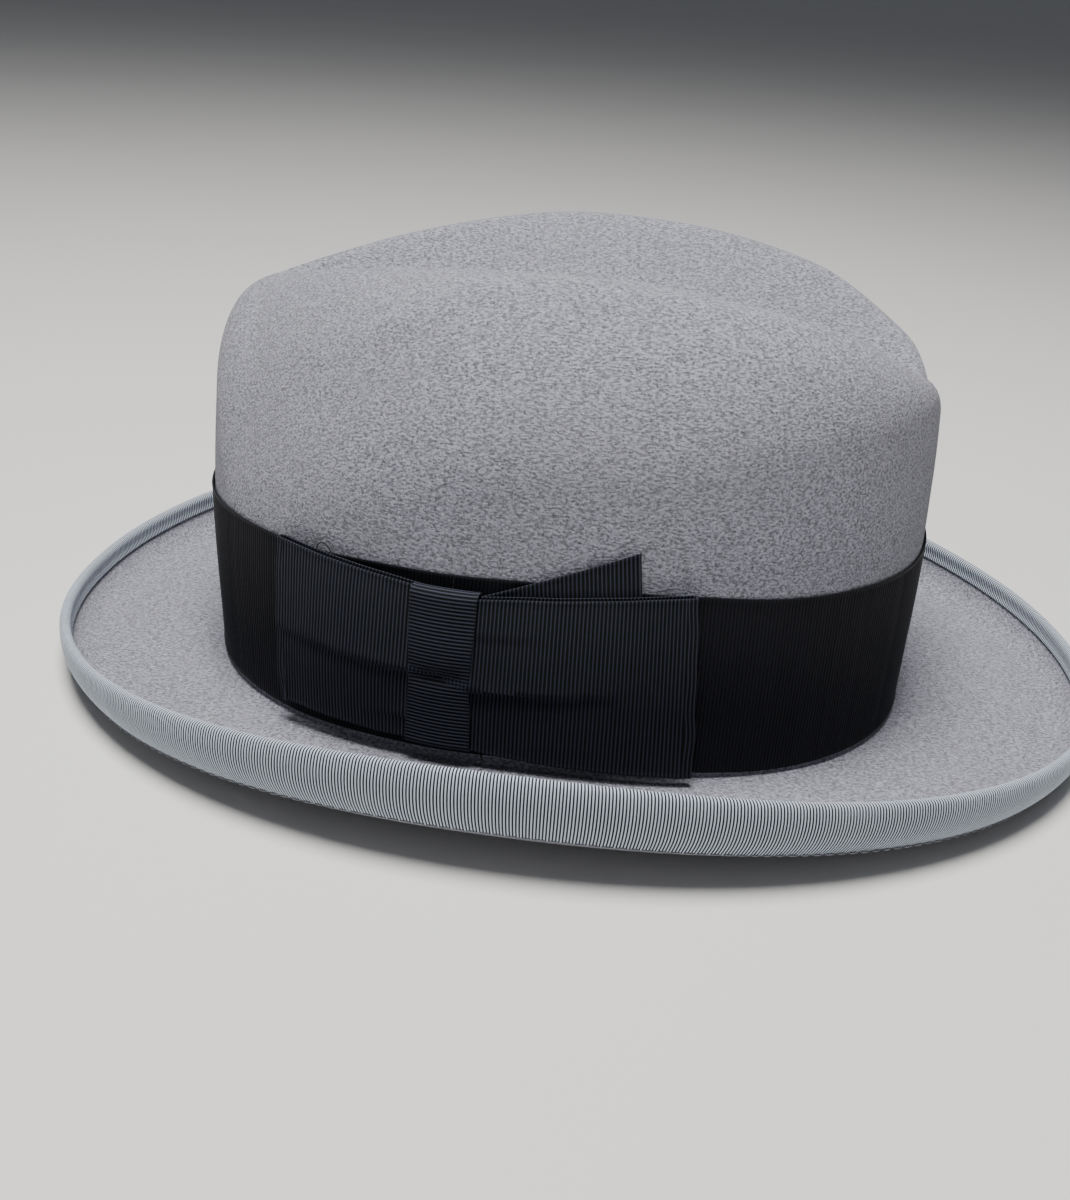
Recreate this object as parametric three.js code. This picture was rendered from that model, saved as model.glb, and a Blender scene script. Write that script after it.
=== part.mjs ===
// A grey fur-felt homburg hat as an assembly of its separate pieces, in millimetres, +Z up.
//
// The hat rests on the table (z = 0) on the front and rear of its brim. Its front faces -Y, and the bow is
// on the wearer's left, +X. The origin is the middle of the brim's outline, on the table.
// Every place round the hat is an angle phi about the crown's upright centre line: 0 is the rear (+Y),
// 90 degrees is the wearer's left (+X) and 180 degrees is the front (-Y).
import * as THREE from "three";

const { clamp, degToRad, lerp, smoothstep } = THREE.MathUtils;

// ---- Driving dimensions ----
const STATIONS = 56; // places round every oval piece
const GAP = 0.3; // clearance between pieces that touch on the real hat
const FELT = 2.0; // thickness of the felt
const RIBBON = 0.5; // thickness of every grosgrain ribbon
const THREAD = 0.4; // diameter of the sewing thread

const CROWN = {
  centreY: -3.8, // the crown stands a little forward of the brim's middle
  halfLength: 102.9,
  halfWidth: 83.6,
  squareness: 2.25, // exponent of the oval: 2 is an ellipse
  lean: 1.0, // how far the wall moves forward as it rises
  leanTop: 60, // the height where that ends
  swell: 1.7, // how much longer the crown grows by that height
  endTaper: 3.3, // how much shorter it is, from its middle, at taperHeight
  sideTaper: 6.3, // and how much narrower
  taperHeight: 100,
  topHeight: 126.7, // the two ridges at mid length
  ridgeSpread: 45.2, // from the centre line to a ridge at mid length
  ridgeFront: 90, // where the ridges meet in front of the centre
  ridgeRear: 105, // where they would meet behind it
  dentShare: 0.56, // depth of the centre gutter over its half width
  dentPower: 1.35, // 2 leaves soft ridges, and 1 sharp ones
  shoulderFall: 0.018, // how fast the top falls outside a ridge
};
// The ridges' height along the hat, as a cubic in y: its slope, its bow and its twist at mid length.
const CREST = { slope: 0.0131, bow: 0.00213, twist: 1.96e-6 };
// How the gutter closes towards its two ends: a higher power closes later.
const GUTTER_CLOSING = { front: 1.8, rear: 4 };
const SHOULDER = { side: 26, end: 9.5 }; // reach of the rounding between top and wall
const BRIM = {
  halfLength: 155,
  halfWidth: 123.0,
  squareness: 2.08,
  breakRadius: 1.5, // where the crown wall turns into the brim
  breakHeight: { end: 3.0, side: 7.4 },
  curlHeight: { end: 1.6, side: 5.4 }, // top face at the lowest line of the curl
  widestHeight: { end: 9.8, side: 23.0 },
  edgeHeight: { end: 11.3, side: 26.9 },
  edgeInset: { end: 0, side: 0.8 }, // how far the upturned edge leans back in
};
const BINDING = { innerWidth: 4, outerWidth: { end: 9.6, side: 15 }, outerSteps: 4, innerSteps: 2 };
const BAND = { width: 49.8, clearOfBrim: 0.5 };
// The bow's places round the crown in degrees, and the heights of its ribbons.
const BOW = {
  frontFold: 133.6,
  knotFront: 110.0,
  knotRear: 98.9,
  middle: 104.4,
  rearFold: 64.0,
  tailEnd: 72.0,
  backing: { from: 78, to: 125, low: 22, high: 46 },
  knot: { low: 11.6, high: 56.8 },
};
const FRONT_LOOP = { atKnot: { low: 13.2, high: 55.2 }, atFold: { low: 12.6, high: 59.2 } };
const REAR_LOOP = { atKnot: { low: 13.2, high: 53.8 }, atFold: { low: 9.4, high: 60.0 } };
const TAIL = { atEnd: { low: 22, high: 70.0 }, atKnot: { low: 13, high: 54.6 } };
const SWEATBAND = { thickness: 1.0, top: 51, reedRadius: 0.8, reedLift: 0.4, seamGap: 0.6 };
const REED_OFFSET = -3.9; // from the felt's outer face to the middle of the reed
const LINING = { thickness: 0.5, bottom: 38, tipDrop: 6, tipInset: 0.025 };
const TIP_GUARD = { halfWidth: 26, halfLength: 38, squareness: 1.6, rows: 3, stations: 24 };

// ---- Finishes ----
const finish = (color, roughness) =>
  new THREE.MeshStandardMaterial({ color, roughness, metalness: 0 });
const feltGrey = finish("#8d8a90", 0.95);
const bindingGrey = finish("#80848d", 0.7);
const ribbonNavy = finish("#17171d", 0.8);
const threadGrey = finish("#6c6f77", 0.8);
const threadNavy = finish("#1c1c22", 0.8);
const leatherTan = finish("#8a5a38", 0.55);
const satinGrey = finish("#b9b4ad", 0.4);
const tapeCream = finish("#cfc6b4", 0.8);
const clearFilm = finish("#e6e8ea", 0.15);

// ---- Ovals and surfaces ----
const between = (phi, range) => lerp(range.end, range.side, Math.sin(phi) ** 2);

function ovalRadius(phi, halfWidth, halfLength, squareness) {
  const across = Math.abs(Math.sin(phi) / halfWidth) ** squareness;
  const along = Math.abs(Math.cos(phi) / halfLength) ** squareness;
  return (across + along) ** (-1 / squareness);
}

// The crown wall's outer face at a height.
function wallRadius(phi, z) {
  const above = smoothstep(z, 0, CROWN.leanTop);
  const taper = (Math.max(z, 0) / CROWN.taperHeight) ** 3;
  const halfLength = CROWN.halfLength + CROWN.swell * above - CROWN.endTaper * taper;
  const lean = CROWN.lean * above * Math.cos(phi);
  const halfWidth = CROWN.halfWidth - CROWN.sideTaper * taper;
  return ovalRadius(phi, halfWidth, halfLength - lean, CROWN.squareness);
}

// The crown's top from above: two ridges that meet at the front, with an open gutter between them.
function topHeight(x, y) {
  const reach = y > 0 ? y / CROWN.ridgeRear : -y / CROWN.ridgeFront;
  const power = y > 0 ? GUTTER_CLOSING.rear : GUTTER_CLOSING.front;
  const closing = Math.max(1 - reach ** power, 0);
  const ridge = CROWN.ridgeSpread * (y > 0 ? Math.sqrt(closing) : closing);
  const crest = CROWN.topHeight + CREST.slope * y - CREST.bow * y ** 2 - CREST.twist * y ** 3;
  const across = Math.abs(x);
  if (across >= ridge) return crest - CROWN.shoulderFall * (across - ridge) ** 2;
  const inward = Math.cos((Math.PI / 2) * (across / ridge));
  const dent = CROWN.dentShare * ridge * inward ** CROWN.dentPower;
  return crest - dent;
}

// A point at an angle, a distance from the crown's centre line and a height.
const polar = (phi, radius, z) =>
  new THREE.Vector3(radius * Math.sin(phi), radius * Math.cos(phi) + CROWN.centreY, z);

const topAt = (phi, radius) => topHeight(radius * Math.sin(phi), radius * Math.cos(phi));

// Where the top would meet the wall if the shoulder were sharp, found by going back and forth.
function shoulderCorner(phi) {
  let z = CROWN.taperHeight;
  for (let turn = 0; turn < 12; turn += 1) z = topAt(phi, wallRadius(phi, z));
  return { radius: wallRadius(phi, z), z };
}

// The height of the brim's top face where it meets the crown.
const breakHeight = (phi) => between(phi, BRIM.breakHeight);
const wallFoot = (phi) => breakHeight(phi) + BRIM.breakRadius;
const bandTop = (phi) => wallFoot(phi) + BAND.clearOfBrim + BAND.width;

// One crown profile, from the centre of the top to the foot of the wall: [radius, z] pairs.
function crownProfile(phi, steps, footZ) {
  const corner = shoulderCorner(phi);
  const reach = between(phi, SHOULDER);
  const topEdge = corner.radius - reach;
  const wallTop = corner.z - reach;
  const shoulder = new THREE.QuadraticBezierCurve(
    new THREE.Vector2(topEdge, topAt(phi, topEdge)),
    new THREE.Vector2(corner.radius, corner.z),
    new THREE.Vector2(wallRadius(phi, wallTop), wallTop),
  );
  const profile = [];
  for (let i = 0; i <= steps.top; i += 1) {
    const radius = (topEdge * i) / steps.top;
    profile.push([radius, topAt(phi, radius)]);
  }
  for (let i = 1; i < steps.shoulder; i += 1) {
    const point = shoulder.getPoint(i / steps.shoulder);
    profile.push([point.x, point.y]);
  }
  profile.push([wallRadius(phi, wallTop), wallTop]);
  for (let i = 0; i <= steps.wall; i += 1) {
    const z = lerp(bandTop(phi), footZ, i / steps.wall);
    profile.push([wallRadius(phi, z), z]);
  }
  return profile;
}

// The brim's top face as one curve, from the foot of the wall to the upturned edge.
function brimCurve(phi) {
  const foot = wallFoot(phi);
  const startRadius = wallRadius(phi, foot);
  // The brim's oval is about the hat's middle, a little behind the crown's.
  const halfLength = BRIM.halfLength - CROWN.centreY * Math.cos(phi);
  const widest = ovalRadius(phi, BRIM.halfWidth, halfLength, BRIM.squareness) - FELT / 2;
  const low = between(phi, BRIM.curlHeight);
  const widestZ = between(phi, BRIM.widestHeight);
  const edgeZ = between(phi, BRIM.edgeHeight);
  const curl = widestZ - low;
  const curlStart = widest - curl;
  const inset = between(phi, BRIM.edgeInset);
  const flat = startRadius + BRIM.breakRadius;
  const level = breakHeight(phi);
  const path = new THREE.Path();
  path.moveTo(startRadius, foot);
  path.quadraticCurveTo(startRadius, level, flat, level);
  const firstHandle = lerp(flat, curlStart, 0.4);
  const secondHandle = lerp(flat, curlStart, 0.6);
  path.bezierCurveTo(firstHandle, level, secondHandle, low, curlStart, low);
  path.absarc(curlStart, widestZ, curl, -Math.PI / 2, 0, false);
  path.bezierCurveTo(
    widest,
    lerp(widestZ, edgeZ, 0.4),
    widest - inset / 2,
    lerp(widestZ, edgeZ, 0.7),
    widest - inset,
    edgeZ,
  );
  return path;
}

// Points of the brim's top face at even steps over its last stretch, which ends at the upturned edge.
function edgeProfile(phi, width, steps) {
  const path = brimCurve(phi);
  const length = path.getLength();
  return Array.from({ length: steps + 1 }, (_, i) => {
    const point = path.getPoint(1 - (width * (1 - i / steps)) / length);
    return [point.x, point.y];
  });
}

// Points of the whole brim's top face: inner ones as far as the binding, then those under it.
function brimProfile(phi, innerSteps) {
  const path = brimCurve(phi);
  const length = path.getLength();
  const width = between(phi, BINDING.outerWidth);
  const profile = [];
  for (let i = 1; i < innerSteps; i += 1) {
    const point = path.getPoint(((i / innerSteps) * (length - width)) / length);
    profile.push([point.x, point.y]);
  }
  return [...profile, ...edgeProfile(phi, width, BINDING.outerSteps)];
}

// ---- Grids of points: rows of equal length, and what is made from them ----
const roundStations = (count = STATIONS) =>
  Array.from({ length: count }, (_, i) => (2 * Math.PI * i) / count);

function arcStations(from, to, count) {
  return Array.from({ length: count + 1 }, (_, i) => lerp(from, to, i / count));
}

// Rows of points from a profile at each station.
function gridFrom(stations, profileAt) {
  const toPoints = (phi) => profileAt(phi).map(([radius, z]) => polar(phi, radius, z));
  const profiles = stations.map(toPoints);
  return profiles[0].map((_, row) => profiles.map((profile) => profile[row]));
}

const SAME_PLACE = 1e-6;

// The grid moved along its own normals. A positive distance is towards the outside of the hat.
function offsetGrid(grid, distance, { wrap = false } = {}) {
  const columns = grid[0].length;
  const column = (index) => (wrap ? (index + columns) % columns : clamp(index, 0, columns - 1));
  return grid.map((points, row) => {
    const before = grid[Math.max(row - 1, 0)];
    const after = grid[Math.min(row + 1, grid.length - 1)];
    const pole = points.every((point) => point.distanceTo(points[0]) < SAME_PLACE);
    const amount = Array.isArray(distance) ? distance[row] : distance;
    return points.map((point, index) => {
      const along = after[index].clone().sub(before[index]);
      const round = points[column(index + 1)].clone().sub(points[column(index - 1)]);
      const normal = pole ? new THREE.Vector3(0, 0, 1) : round.cross(along).normalize();
      return point.clone().addScaledVector(normal, amount);
    });
  });
}

function signedVolume(vertices, triangles) {
  let volume = 0;
  for (const [a, b, c] of triangles) {
    volume += vertices[a].dot(vertices[b].clone().cross(vertices[c])) / 6;
  }
  return volume;
}

// A closed solid between two grids. wrap joins the last column to the first, and pole closes the first row.
function solidBetween(front, back, { wrap = false, pole = false, closed = false } = {}) {
  const rows = front.length;
  const columns = front[0].length;
  const vertices = [];
  const index = [front, back].map((grid) =>
    grid.map((points, row) =>
      points.map((point, column) => {
        if (pole && row === 0 && column > 0) return vertices.length - 1;
        vertices.push(point);
        return vertices.length - 1;
      }),
    ),
  );
  const triangles = [];
  const quad = (a, b, c, d) => {
    triangles.push([a, b, c], [a, c, d]);
  };
  const lastColumn = wrap ? columns : columns - 1;
  const lastRow = closed ? rows : rows - 1;
  for (let row = 0; row < lastRow; row += 1) {
    const next = (row + 1) % rows;
    for (let column = 0; column < lastColumn; column += 1) {
      const beside = (column + 1) % columns;
      const [outer, inner] = index;
      quad(outer[row][column], outer[row][beside], outer[next][beside], outer[next][column]);
      quad(inner[row][column], inner[next][column], inner[next][beside], inner[row][beside]);
    }
  }
  const rim = (points, others, reverse) => {
    const last = wrap ? columns : columns - 1;
    for (let column = 0; column < last; column += 1) {
      const beside = (column + 1) % columns;
      const corners = [points[column], points[beside], others[beside], others[column]];
      if (reverse) corners.reverse();
      quad(...corners);
    }
  };
  if (!closed) {
    rim(index[0][rows - 1], index[1][rows - 1], false);
    if (!pole) rim(index[0][0], index[1][0], true);
  }
  if (!wrap) {
    for (let row = 0; row < lastRow; row += 1) {
      const next = (row + 1) % rows;
      quad(index[0][row][0], index[0][next][0], index[1][next][0], index[1][row][0]);
      const end = columns - 1;
      quad(index[0][row][end], index[1][row][end], index[1][next][end], index[0][next][end]);
    }
  }
  const whole = triangles.filter(([a, b, c]) => a !== b && b !== c && a !== c);
  if (signedVolume(vertices, whole) < 0) whole.forEach((triangle) => triangle.reverse());
  const geometry = new THREE.BufferGeometry();
  const positions = vertices.flatMap((vertex) => vertex.toArray());
  geometry.setAttribute("position", new THREE.Float32BufferAttribute(positions, 3));
  geometry.setIndex(whole.flat());
  geometry.computeVertexNormals();
  return geometry;
}

const hat = new THREE.Group();

function add(name, geometry, material) {
  const mesh = new THREE.Mesh(geometry, material);
  mesh.name = name;
  hat.add(mesh);
}

// A sheet of even thickness that starts at an offset from a grid.
function sheet(grid, start, thickness, options = {}) {
  const outside = offsetGrid(grid, start + thickness, options);
  return solidBetween(outside, offsetGrid(grid, start, options), options);
}

// A thin cord along a closed ring of points, or along an open run of them, with a four-sided section.
function cordGeometry(points, diameter, closedRing) {
  const curve = new THREE.CatmullRomCurve3(points, closedRing);
  const section = new THREE.Shape();
  for (let corner = 0; corner < 4; corner += 1) {
    const turn = degToRad(90 * corner + 45);
    const place = [(diameter / 2) * Math.cos(turn), (diameter / 2) * Math.sin(turn)];
    if (corner === 0) section.moveTo(...place);
    else section.lineTo(...place);
  }
  section.closePath();
  const settings = { steps: points.length, extrudePath: curve, bevelEnabled: false };
  return new THREE.ExtrudeGeometry(section, settings);
}

// A closed ring with a round section, built about a grid row: sides is the number of its faces.
function ringGeometry(stations, centreAt, radius, sides) {
  const centres = stations.map(centreAt);
  const section = (scale) =>
    Array.from({ length: sides }, (_, side) => {
      const turn = (2 * Math.PI * side) / sides;
      return stations.map((phi, i) =>
        polar(phi, centres[i][0] + scale * Math.cos(turn), centres[i][1] + scale * Math.sin(turn)),
      );
    });
  const skin = section(radius);
  const vertices = skin.flat();
  const count = stations.length;
  const triangles = [];
  for (let side = 0; side < sides; side += 1) {
    const next = (side + 1) % sides;
    for (let i = 0; i < count; i += 1) {
      const beside = (i + 1) % count;
      const [a, b] = [side * count + i, next * count + i];
      const [c, d] = [next * count + beside, side * count + beside];
      triangles.push([a, b, c], [a, c, d]);
    }
  }
  if (signedVolume(vertices, triangles) < 0) triangles.forEach((triangle) => triangle.reverse());
  const geometry = new THREE.BufferGeometry();
  const positions = vertices.flatMap((vertex) => vertex.toArray());
  geometry.setAttribute("position", new THREE.Float32BufferAttribute(positions, 3));
  geometry.setIndex(triangles.flat());
  return geometry;
}

// ---- The felt ----
const CROWN_STEPS = { top: 6, shoulder: 4, wall: 3 };
const BRIM_INNER_STEPS = 6;

function makeFelt() {
  const outer = gridFrom(roundStations(), (phi) => [
    ...crownProfile(phi, CROWN_STEPS, wallFoot(phi)),
    ...brimProfile(phi, BRIM_INNER_STEPS),
  ]);
  const inner = offsetGrid(outer, -FELT, { wrap: true });
  // The felt is pressed flat where it rests on the table.
  inner.flat().forEach((point) => {
    point.z = Math.max(point.z, 0);
  });
  add("felt_body", solidBetween(outer, inner, { wrap: true, pole: true }), feltGrey);
}

// ---- The brim's ribbon binding and its stitching ----
function makeBinding() {
  const stations = roundStations();
  const options = { wrap: true };
  const outerWidth = (phi) => between(phi, BINDING.outerWidth);
  // Each strip has one row more than its leg, so that the leg's last row leans as the felt does there.
  const strip = (widthAt, steps) =>
    gridFrom(stations, (phi) => edgeProfile(phi, (widthAt(phi) * (steps + 1)) / steps, steps + 1));
  const outerStrip = strip(outerWidth, BINDING.outerSteps);
  const innerStrip = strip(() => BINDING.innerWidth, BINDING.innerSteps);
  const layer = (distance) => {
    const outerLeg = offsetGrid(outerStrip, -FELT - distance, options).slice(1);
    const innerLeg = offsetGrid(innerStrip, distance, options).slice(1);
    const crest = outerLeg[BINDING.outerSteps].map((point, i) => {
      const middle = point.clone().add(innerLeg[BINDING.innerSteps][i]).multiplyScalar(0.5);
      middle.z += distance + 2 * GAP;
      return middle;
    });
    return [...outerLeg, crest, ...innerLeg.reverse()];
  };
  const clear = 1.5 * GAP;
  const outside = layer(clear + RIBBON);
  add("brim_binding", solidBetween(outside, layer(clear), options), bindingGrey);

  // The stitching runs just inside the ribbon's outer lower edge.
  const seam = outside[1].map((place) => [
    Math.hypot(place.x, place.y - CROWN.centreY) + THREAD / 2 + GAP,
    place.z - THREAD / 2,
  ]);
  add("binding_thread", ringGeometry(stations, (phi, i) => seam[i], THREAD / 2, 4), threadGrey);
}

// ---- The hatband and its tacks ----
const bandBottom = (phi) => bandTop(phi) - BAND.width;

// A grid on the crown wall's outer face between two heights.
function wallGrid(stations, lowAt, highAt, rows) {
  return gridFrom(stations, (phi) =>
    Array.from({ length: rows + 1 }, (_, i) => {
      const z = lerp(highAt(phi), lowAt(phi), i / rows);
      return [wallRadius(phi, z), z];
    }),
  );
}

// Where ribbon layer number n of the bow starts, outside the felt. Layer 0 is the hatband.
const layerStart = (number) => GAP + number * (RIBBON + GAP);

function makeHatband() {
  const joint = degToRad(0.4);
  const middle = degToRad(BOW.middle);
  const stations = arcStations(middle + joint, middle + 2 * Math.PI - joint, STATIONS);
  const grid = wallGrid(stations, bandBottom, bandTop, CROWN_STEPS.wall);
  add("hatband", sheet(grid, layerStart(0), RIBBON), ribbonNavy);
}

const TACK = { halfAngle: degToRad(0.9), aboveEdge: 3 };

// A short stitch of thread lying on the band, seen as a dash.
function makeBandTack(name, degrees) {
  const phi = degToRad(degrees);
  const stations = arcStations(phi - TACK.halfAngle, phi + TACK.halfAngle, 2);
  const low = (angle) => bandBottom(angle) + TACK.aboveEdge;
  const high = (angle) => low(angle) + THREAD;
  add(name, sheet(wallGrid(stations, low, high, 1), layerStart(1), THREAD), threadNavy);
}

// ---- The bow ----
// A strip of wall between two angles, whose height range is given at both ends.
function slopedGrid(stations, start, end, rows = 2) {
  const share = (phi) => (phi - stations[0]) / (stations[stations.length - 1] - stations[0]);
  const low = (phi) => lerp(start.low, end.low, share(phi));
  const high = (phi) => lerp(start.high, end.high, share(phi));
  return wallGrid(stations, low, high, rows);
}

const LOOP_LAYERS = { back: 3, front: 5 };

// A flat loop of ribbon: a back layer, a rounded fold at its far end and a front layer.
function loopGeometry(from, fold, { atKnot, atFold }) {
  const steps = 6;
  const back = layerStart(LOOP_LAYERS.back) + RIBBON / 2;
  const front = layerStart(LOOP_LAYERS.front) + RIBBON / 2;
  const radius = (front - back) / 2;
  const run = arcStations(from, fold, steps);
  const path = run.map((phi) => ({ phi, offset: back }));
  const turns = 4;
  for (let turn = 1; turn < turns; turn += 1) {
    const angle = (Math.PI * turn) / turns;
    const past = (Math.sign(fold - from) * radius * Math.sin(angle)) / CROWN.halfWidth;
    path.push({ phi: fold + past, offset: (back + front) / 2 - radius * Math.cos(angle) });
  }
  path.push(...run.reverse().map((phi) => ({ phi, offset: front })));
  const place = ({ phi, offset }, level) => {
    const share = clamp((phi - from) / (fold - from), 0, 1);
    const low = lerp(atKnot.low, atFold.low, share);
    const high = lerp(atKnot.high, atFold.high, share);
    const z = lerp(low, high, level);
    return polar(phi, wallRadius(phi, z) + offset * ovalStretch(phi), z);
  };
  const grid = [1, 0.5, 0].map((level) => path.map((step) => place(step, level)));
  return solidBetween(offsetGrid(grid, RIBBON / 2), offsetGrid(grid, -RIBBON / 2));
}

// How much farther a ray from the centre runs than the normal does through the same layer.
function ovalStretch(phi) {
  const step = 0.01;
  const radius = wallRadius(phi, 30);
  const slope = (wallRadius(phi + step, 30) - wallRadius(phi - step, 30)) / (2 * step * radius);
  return Math.hypot(1, slope);
}

// The wrap across the bow's middle, one closed band of ribbon round all its layers.
function knotGeometry() {
  const stations = arcStations(degToRad(BOW.knotRear), degToRad(BOW.knotFront), 4);
  const back = layerStart(LOOP_LAYERS.back - 1) + RIBBON / 2;
  const front = layerStart(LOOP_LAYERS.front + 1) + RIBBON / 2;
  const { low, high } = BOW.knot;
  const bevel = 0.6;
  const outline = [
    [low + bevel, back],
    [low, (back + front) / 2],
    [low + bevel, front],
    [(low + high) / 2, front],
    [high - bevel, front],
    [high, (back + front) / 2],
    [high - bevel, back],
    [(low + high) / 2, back],
  ];
  const ring = (grow) =>
    outline.map(([z, offset]) => {
      const middleOffset = (back + front) / 2;
      const side = Math.sign(offset - middleOffset);
      const end = z < low + 1 ? -1 : Number(z > high - 1);
      return stations.map((phi) => {
        const height = z + grow * end;
        const out = offset + grow * side;
        return polar(phi, wallRadius(phi, height) + out * ovalStretch(phi), height);
      });
    });
  return solidBetween(ring(RIBBON / 2), ring(-RIBBON / 2), { closed: true });
}

function makeBow() {
  const { from, to, low, high } = BOW.backing;
  const backing = slopedGrid(arcStations(degToRad(from), degToRad(to), 10), { low, high }, { low, high });
  add("bow_backing", sheet(backing, layerStart(1), RIBBON), ribbonNavy);

  const tailStations = arcStations(degToRad(BOW.tailEnd), degToRad(BOW.knotRear - 1), 6);
  const tail = slopedGrid(tailStations, TAIL.atEnd, TAIL.atKnot);
  add("bow_tail", sheet(tail, layerStart(2), RIBBON), ribbonNavy);

  const [middle, apart] = [BOW.middle, 0.3];
  const frontLoop = loopGeometry(degToRad(middle + apart), degToRad(BOW.frontFold), FRONT_LOOP);
  add("bow_front_loop", frontLoop, ribbonNavy);
  const rearLoop = loopGeometry(degToRad(middle - apart), degToRad(BOW.rearFold), REAR_LOOP);
  add("bow_rear_loop", rearLoop, ribbonNavy);
  add("bow_knot", knotGeometry(), ribbonNavy);
}

// ---- Loose threads ----
// Each place on a thread is degrees round the crown, a height, and a distance out from the felt.
const THREAD_LOOP_DEGREES = 127;
const THREAD_LOOP = [
  [128.2, -1.5, 1.5],
  [128.0, 1.2, 1.8],
  [127.0, 2.6, 2.1],
  [125.8, 2.0, 2.1],
  [125.2, -0.6, 1.7],
  [124.9, -1.8, 1.5],
]; // heights from the band's top edge
const THREAD_END = [
  [97.9, 10.9, 2.0],
  [97.4, 10.4, 3.0],
  [97.0, 10.0, 4.2],
  [97.2, 9.8, 5.4],
  [97.6, 9.9, 6.2],
];

function makeLooseThreads() {
  const onWall = ([degrees, z, out]) => {
    const phi = degToRad(degrees);
    return polar(phi, wallRadius(phi, z) + out, z);
  };
  const edge = bandTop(degToRad(THREAD_LOOP_DEGREES));
  const loop = THREAD_LOOP.map(([degrees, above, out]) => onWall([degrees, edge + above, out]));
  add("loose_thread_loop", cordGeometry(loop, THREAD, false), threadNavy);
  add("loose_thread_end", cordGeometry(THREAD_END.map(onWall), THREAD, false), threadNavy);
}

// ---- Inside the hat: sweatband, reed and its tape ----
// Offsets from the felt's outer face to the lining's inner face and to the leather's.
const LINING_INSIDE = -(FELT + GAP + LINING.thickness);
const LEATHER_INSIDE = LINING_INSIDE - 2 * GAP - SWEATBAND.thickness;
const reedHeight = (phi) => breakHeight(phi) + SWEATBAND.reedLift;
const TAPE_HEIGHT = 7; // the reed tape's upper edge above the reed
const STITCH_HEIGHT = 4; // the sweatband's stitching above the reed

// A place beside the crown wall: offset is positive outside it and negative inside.
const besideWall = (phi, offset, z) => [wallRadius(phi, z) + offset * ovalStretch(phi), z];

function makeSweatband() {
  const seam = SWEATBAND.seamGap / (2 * CROWN.halfLength);
  const stations = arcStations(seam, 2 * Math.PI - seam, STATIONS);
  const bottom = (phi) => reedHeight(phi) + SWEATBAND.reedRadius + 2 * GAP;
  const leather = wallGrid(stations, bottom, () => SWEATBAND.top, 4);
  add("sweatband", sheet(leather, LEATHER_INSIDE, SWEATBAND.thickness), leatherTan);

  const round = roundStations();
  const reedCentre = (phi) => besideWall(phi, REED_OFFSET, reedHeight(phi));
  add("sweatband_reed", ringGeometry(round, reedCentre, SWEATBAND.reedRadius, 5), clearFilm);

  // The tape runs down beside the felt, turns under the reed and ends on its inner side.
  const wrapRadius = SWEATBAND.reedRadius + GAP + RIBBON / 2;
  const turns = 3;
  const tapeAt = (grow) =>
    gridFrom(round, (phi) => {
      const reach = wrapRadius + grow;
      const profile = [besideWall(phi, REED_OFFSET + reach, reedHeight(phi) + TAPE_HEIGHT)];
      for (let turn = 0; turn <= turns; turn += 1) {
        const angle = -(Math.PI * turn) / turns;
        const z = reedHeight(phi) + reach * Math.sin(angle);
        profile.push(besideWall(phi, REED_OFFSET + reach * Math.cos(angle), z));
      }
      return profile;
    });
  const tape = solidBetween(tapeAt(RIBBON / 2), tapeAt(-RIBBON / 2), { wrap: true });
  add("reed_tape", tape, tapeCream);

  const stitchAt = (phi) => besideWall(phi, LEATHER_INSIDE - THREAD, reedHeight(phi) + STITCH_HEIGHT);
  add("sweatband_thread", ringGeometry(round, stitchAt, THREAD / 2, 4), threadGrey);
}

// Small cloth pieces on the sweatband, as degrees round the crown and heights.
const SEAM_TAPE = { from: -3.5, to: 3.5, low: 13, high: 36 };
const LABEL = { from: 9, to: 21, low: 14, high: 34 };
const BACK_BOW = { halfAngle: degToRad(7), height: 44, waist: 2, flare: 5, thickness: 1 };

function makeSweatbandTrim() {
  const patch = ({ from, to, low, high }) => {
    const stations = arcStations(degToRad(from), degToRad(to), 6);
    const grid = wallGrid(stations, () => low, () => high, 2);
    return sheet(grid, LINING_INSIDE, LINING.thickness);
  };
  add("sweatband_seam_tape", patch(SEAM_TAPE), tapeCream);
  add("size_label", patch(LABEL), tapeCream);

  const { halfAngle, height, waist, flare, thickness } = BACK_BOW;
  const reach = (phi) => lerp(waist, flare, Math.min(Math.abs(phi) / halfAngle, 1));
  const low = (phi) => height - reach(phi);
  const high = (phi) => height + reach(phi);
  const bow = wallGrid(arcStations(-halfAngle, halfAngle, 8), low, high, 2);
  add("sweatband_bow", sheet(bow, LEATHER_INSIDE - GAP - thickness, thickness), ribbonNavy);
}

// ---- Inside the hat: lining ----
const LINING_STEPS = { top: 5, shoulder: 3, wall: 2 };

function makeLining() {
  const profileAt = (phi) => crownProfile(phi, LINING_STEPS, LINING.bottom);
  const crown = gridFrom(roundStations(), profileAt);
  const side = crown.slice(LINING_STEPS.top + 1);
  // The wall's first rows stand further in, clear of the tip.
  const inside = side.map((_, row) => LINING_INSIDE - Math.max(2 - row, 0));
  const inner = offsetGrid(side, inside, { wrap: true });
  const outer = offsetGrid(inner, LINING.thickness, { wrap: true });
  add("lining_side", solidBetween(outer, inner, { wrap: true }), satinGrey);

  const tip = crown.slice(0, LINING_STEPS.top + 1);
  const lowered = (drop) =>
    tip.map((points) =>
      points.map(({ x, y, z }) => {
        const inset = 1 - LINING.tipInset;
        return new THREE.Vector3(x * inset, CROWN.centreY + (y - CROWN.centreY) * inset, z - drop);
      }),
    );
  const options = { wrap: true, pole: true };
  const tipBottom = lowered(LINING.tipDrop + LINING.thickness);
  add("lining_tip", solidBetween(lowered(LINING.tipDrop), tipBottom, options), satinGrey);
  makeTipGuard(options);
}

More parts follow.
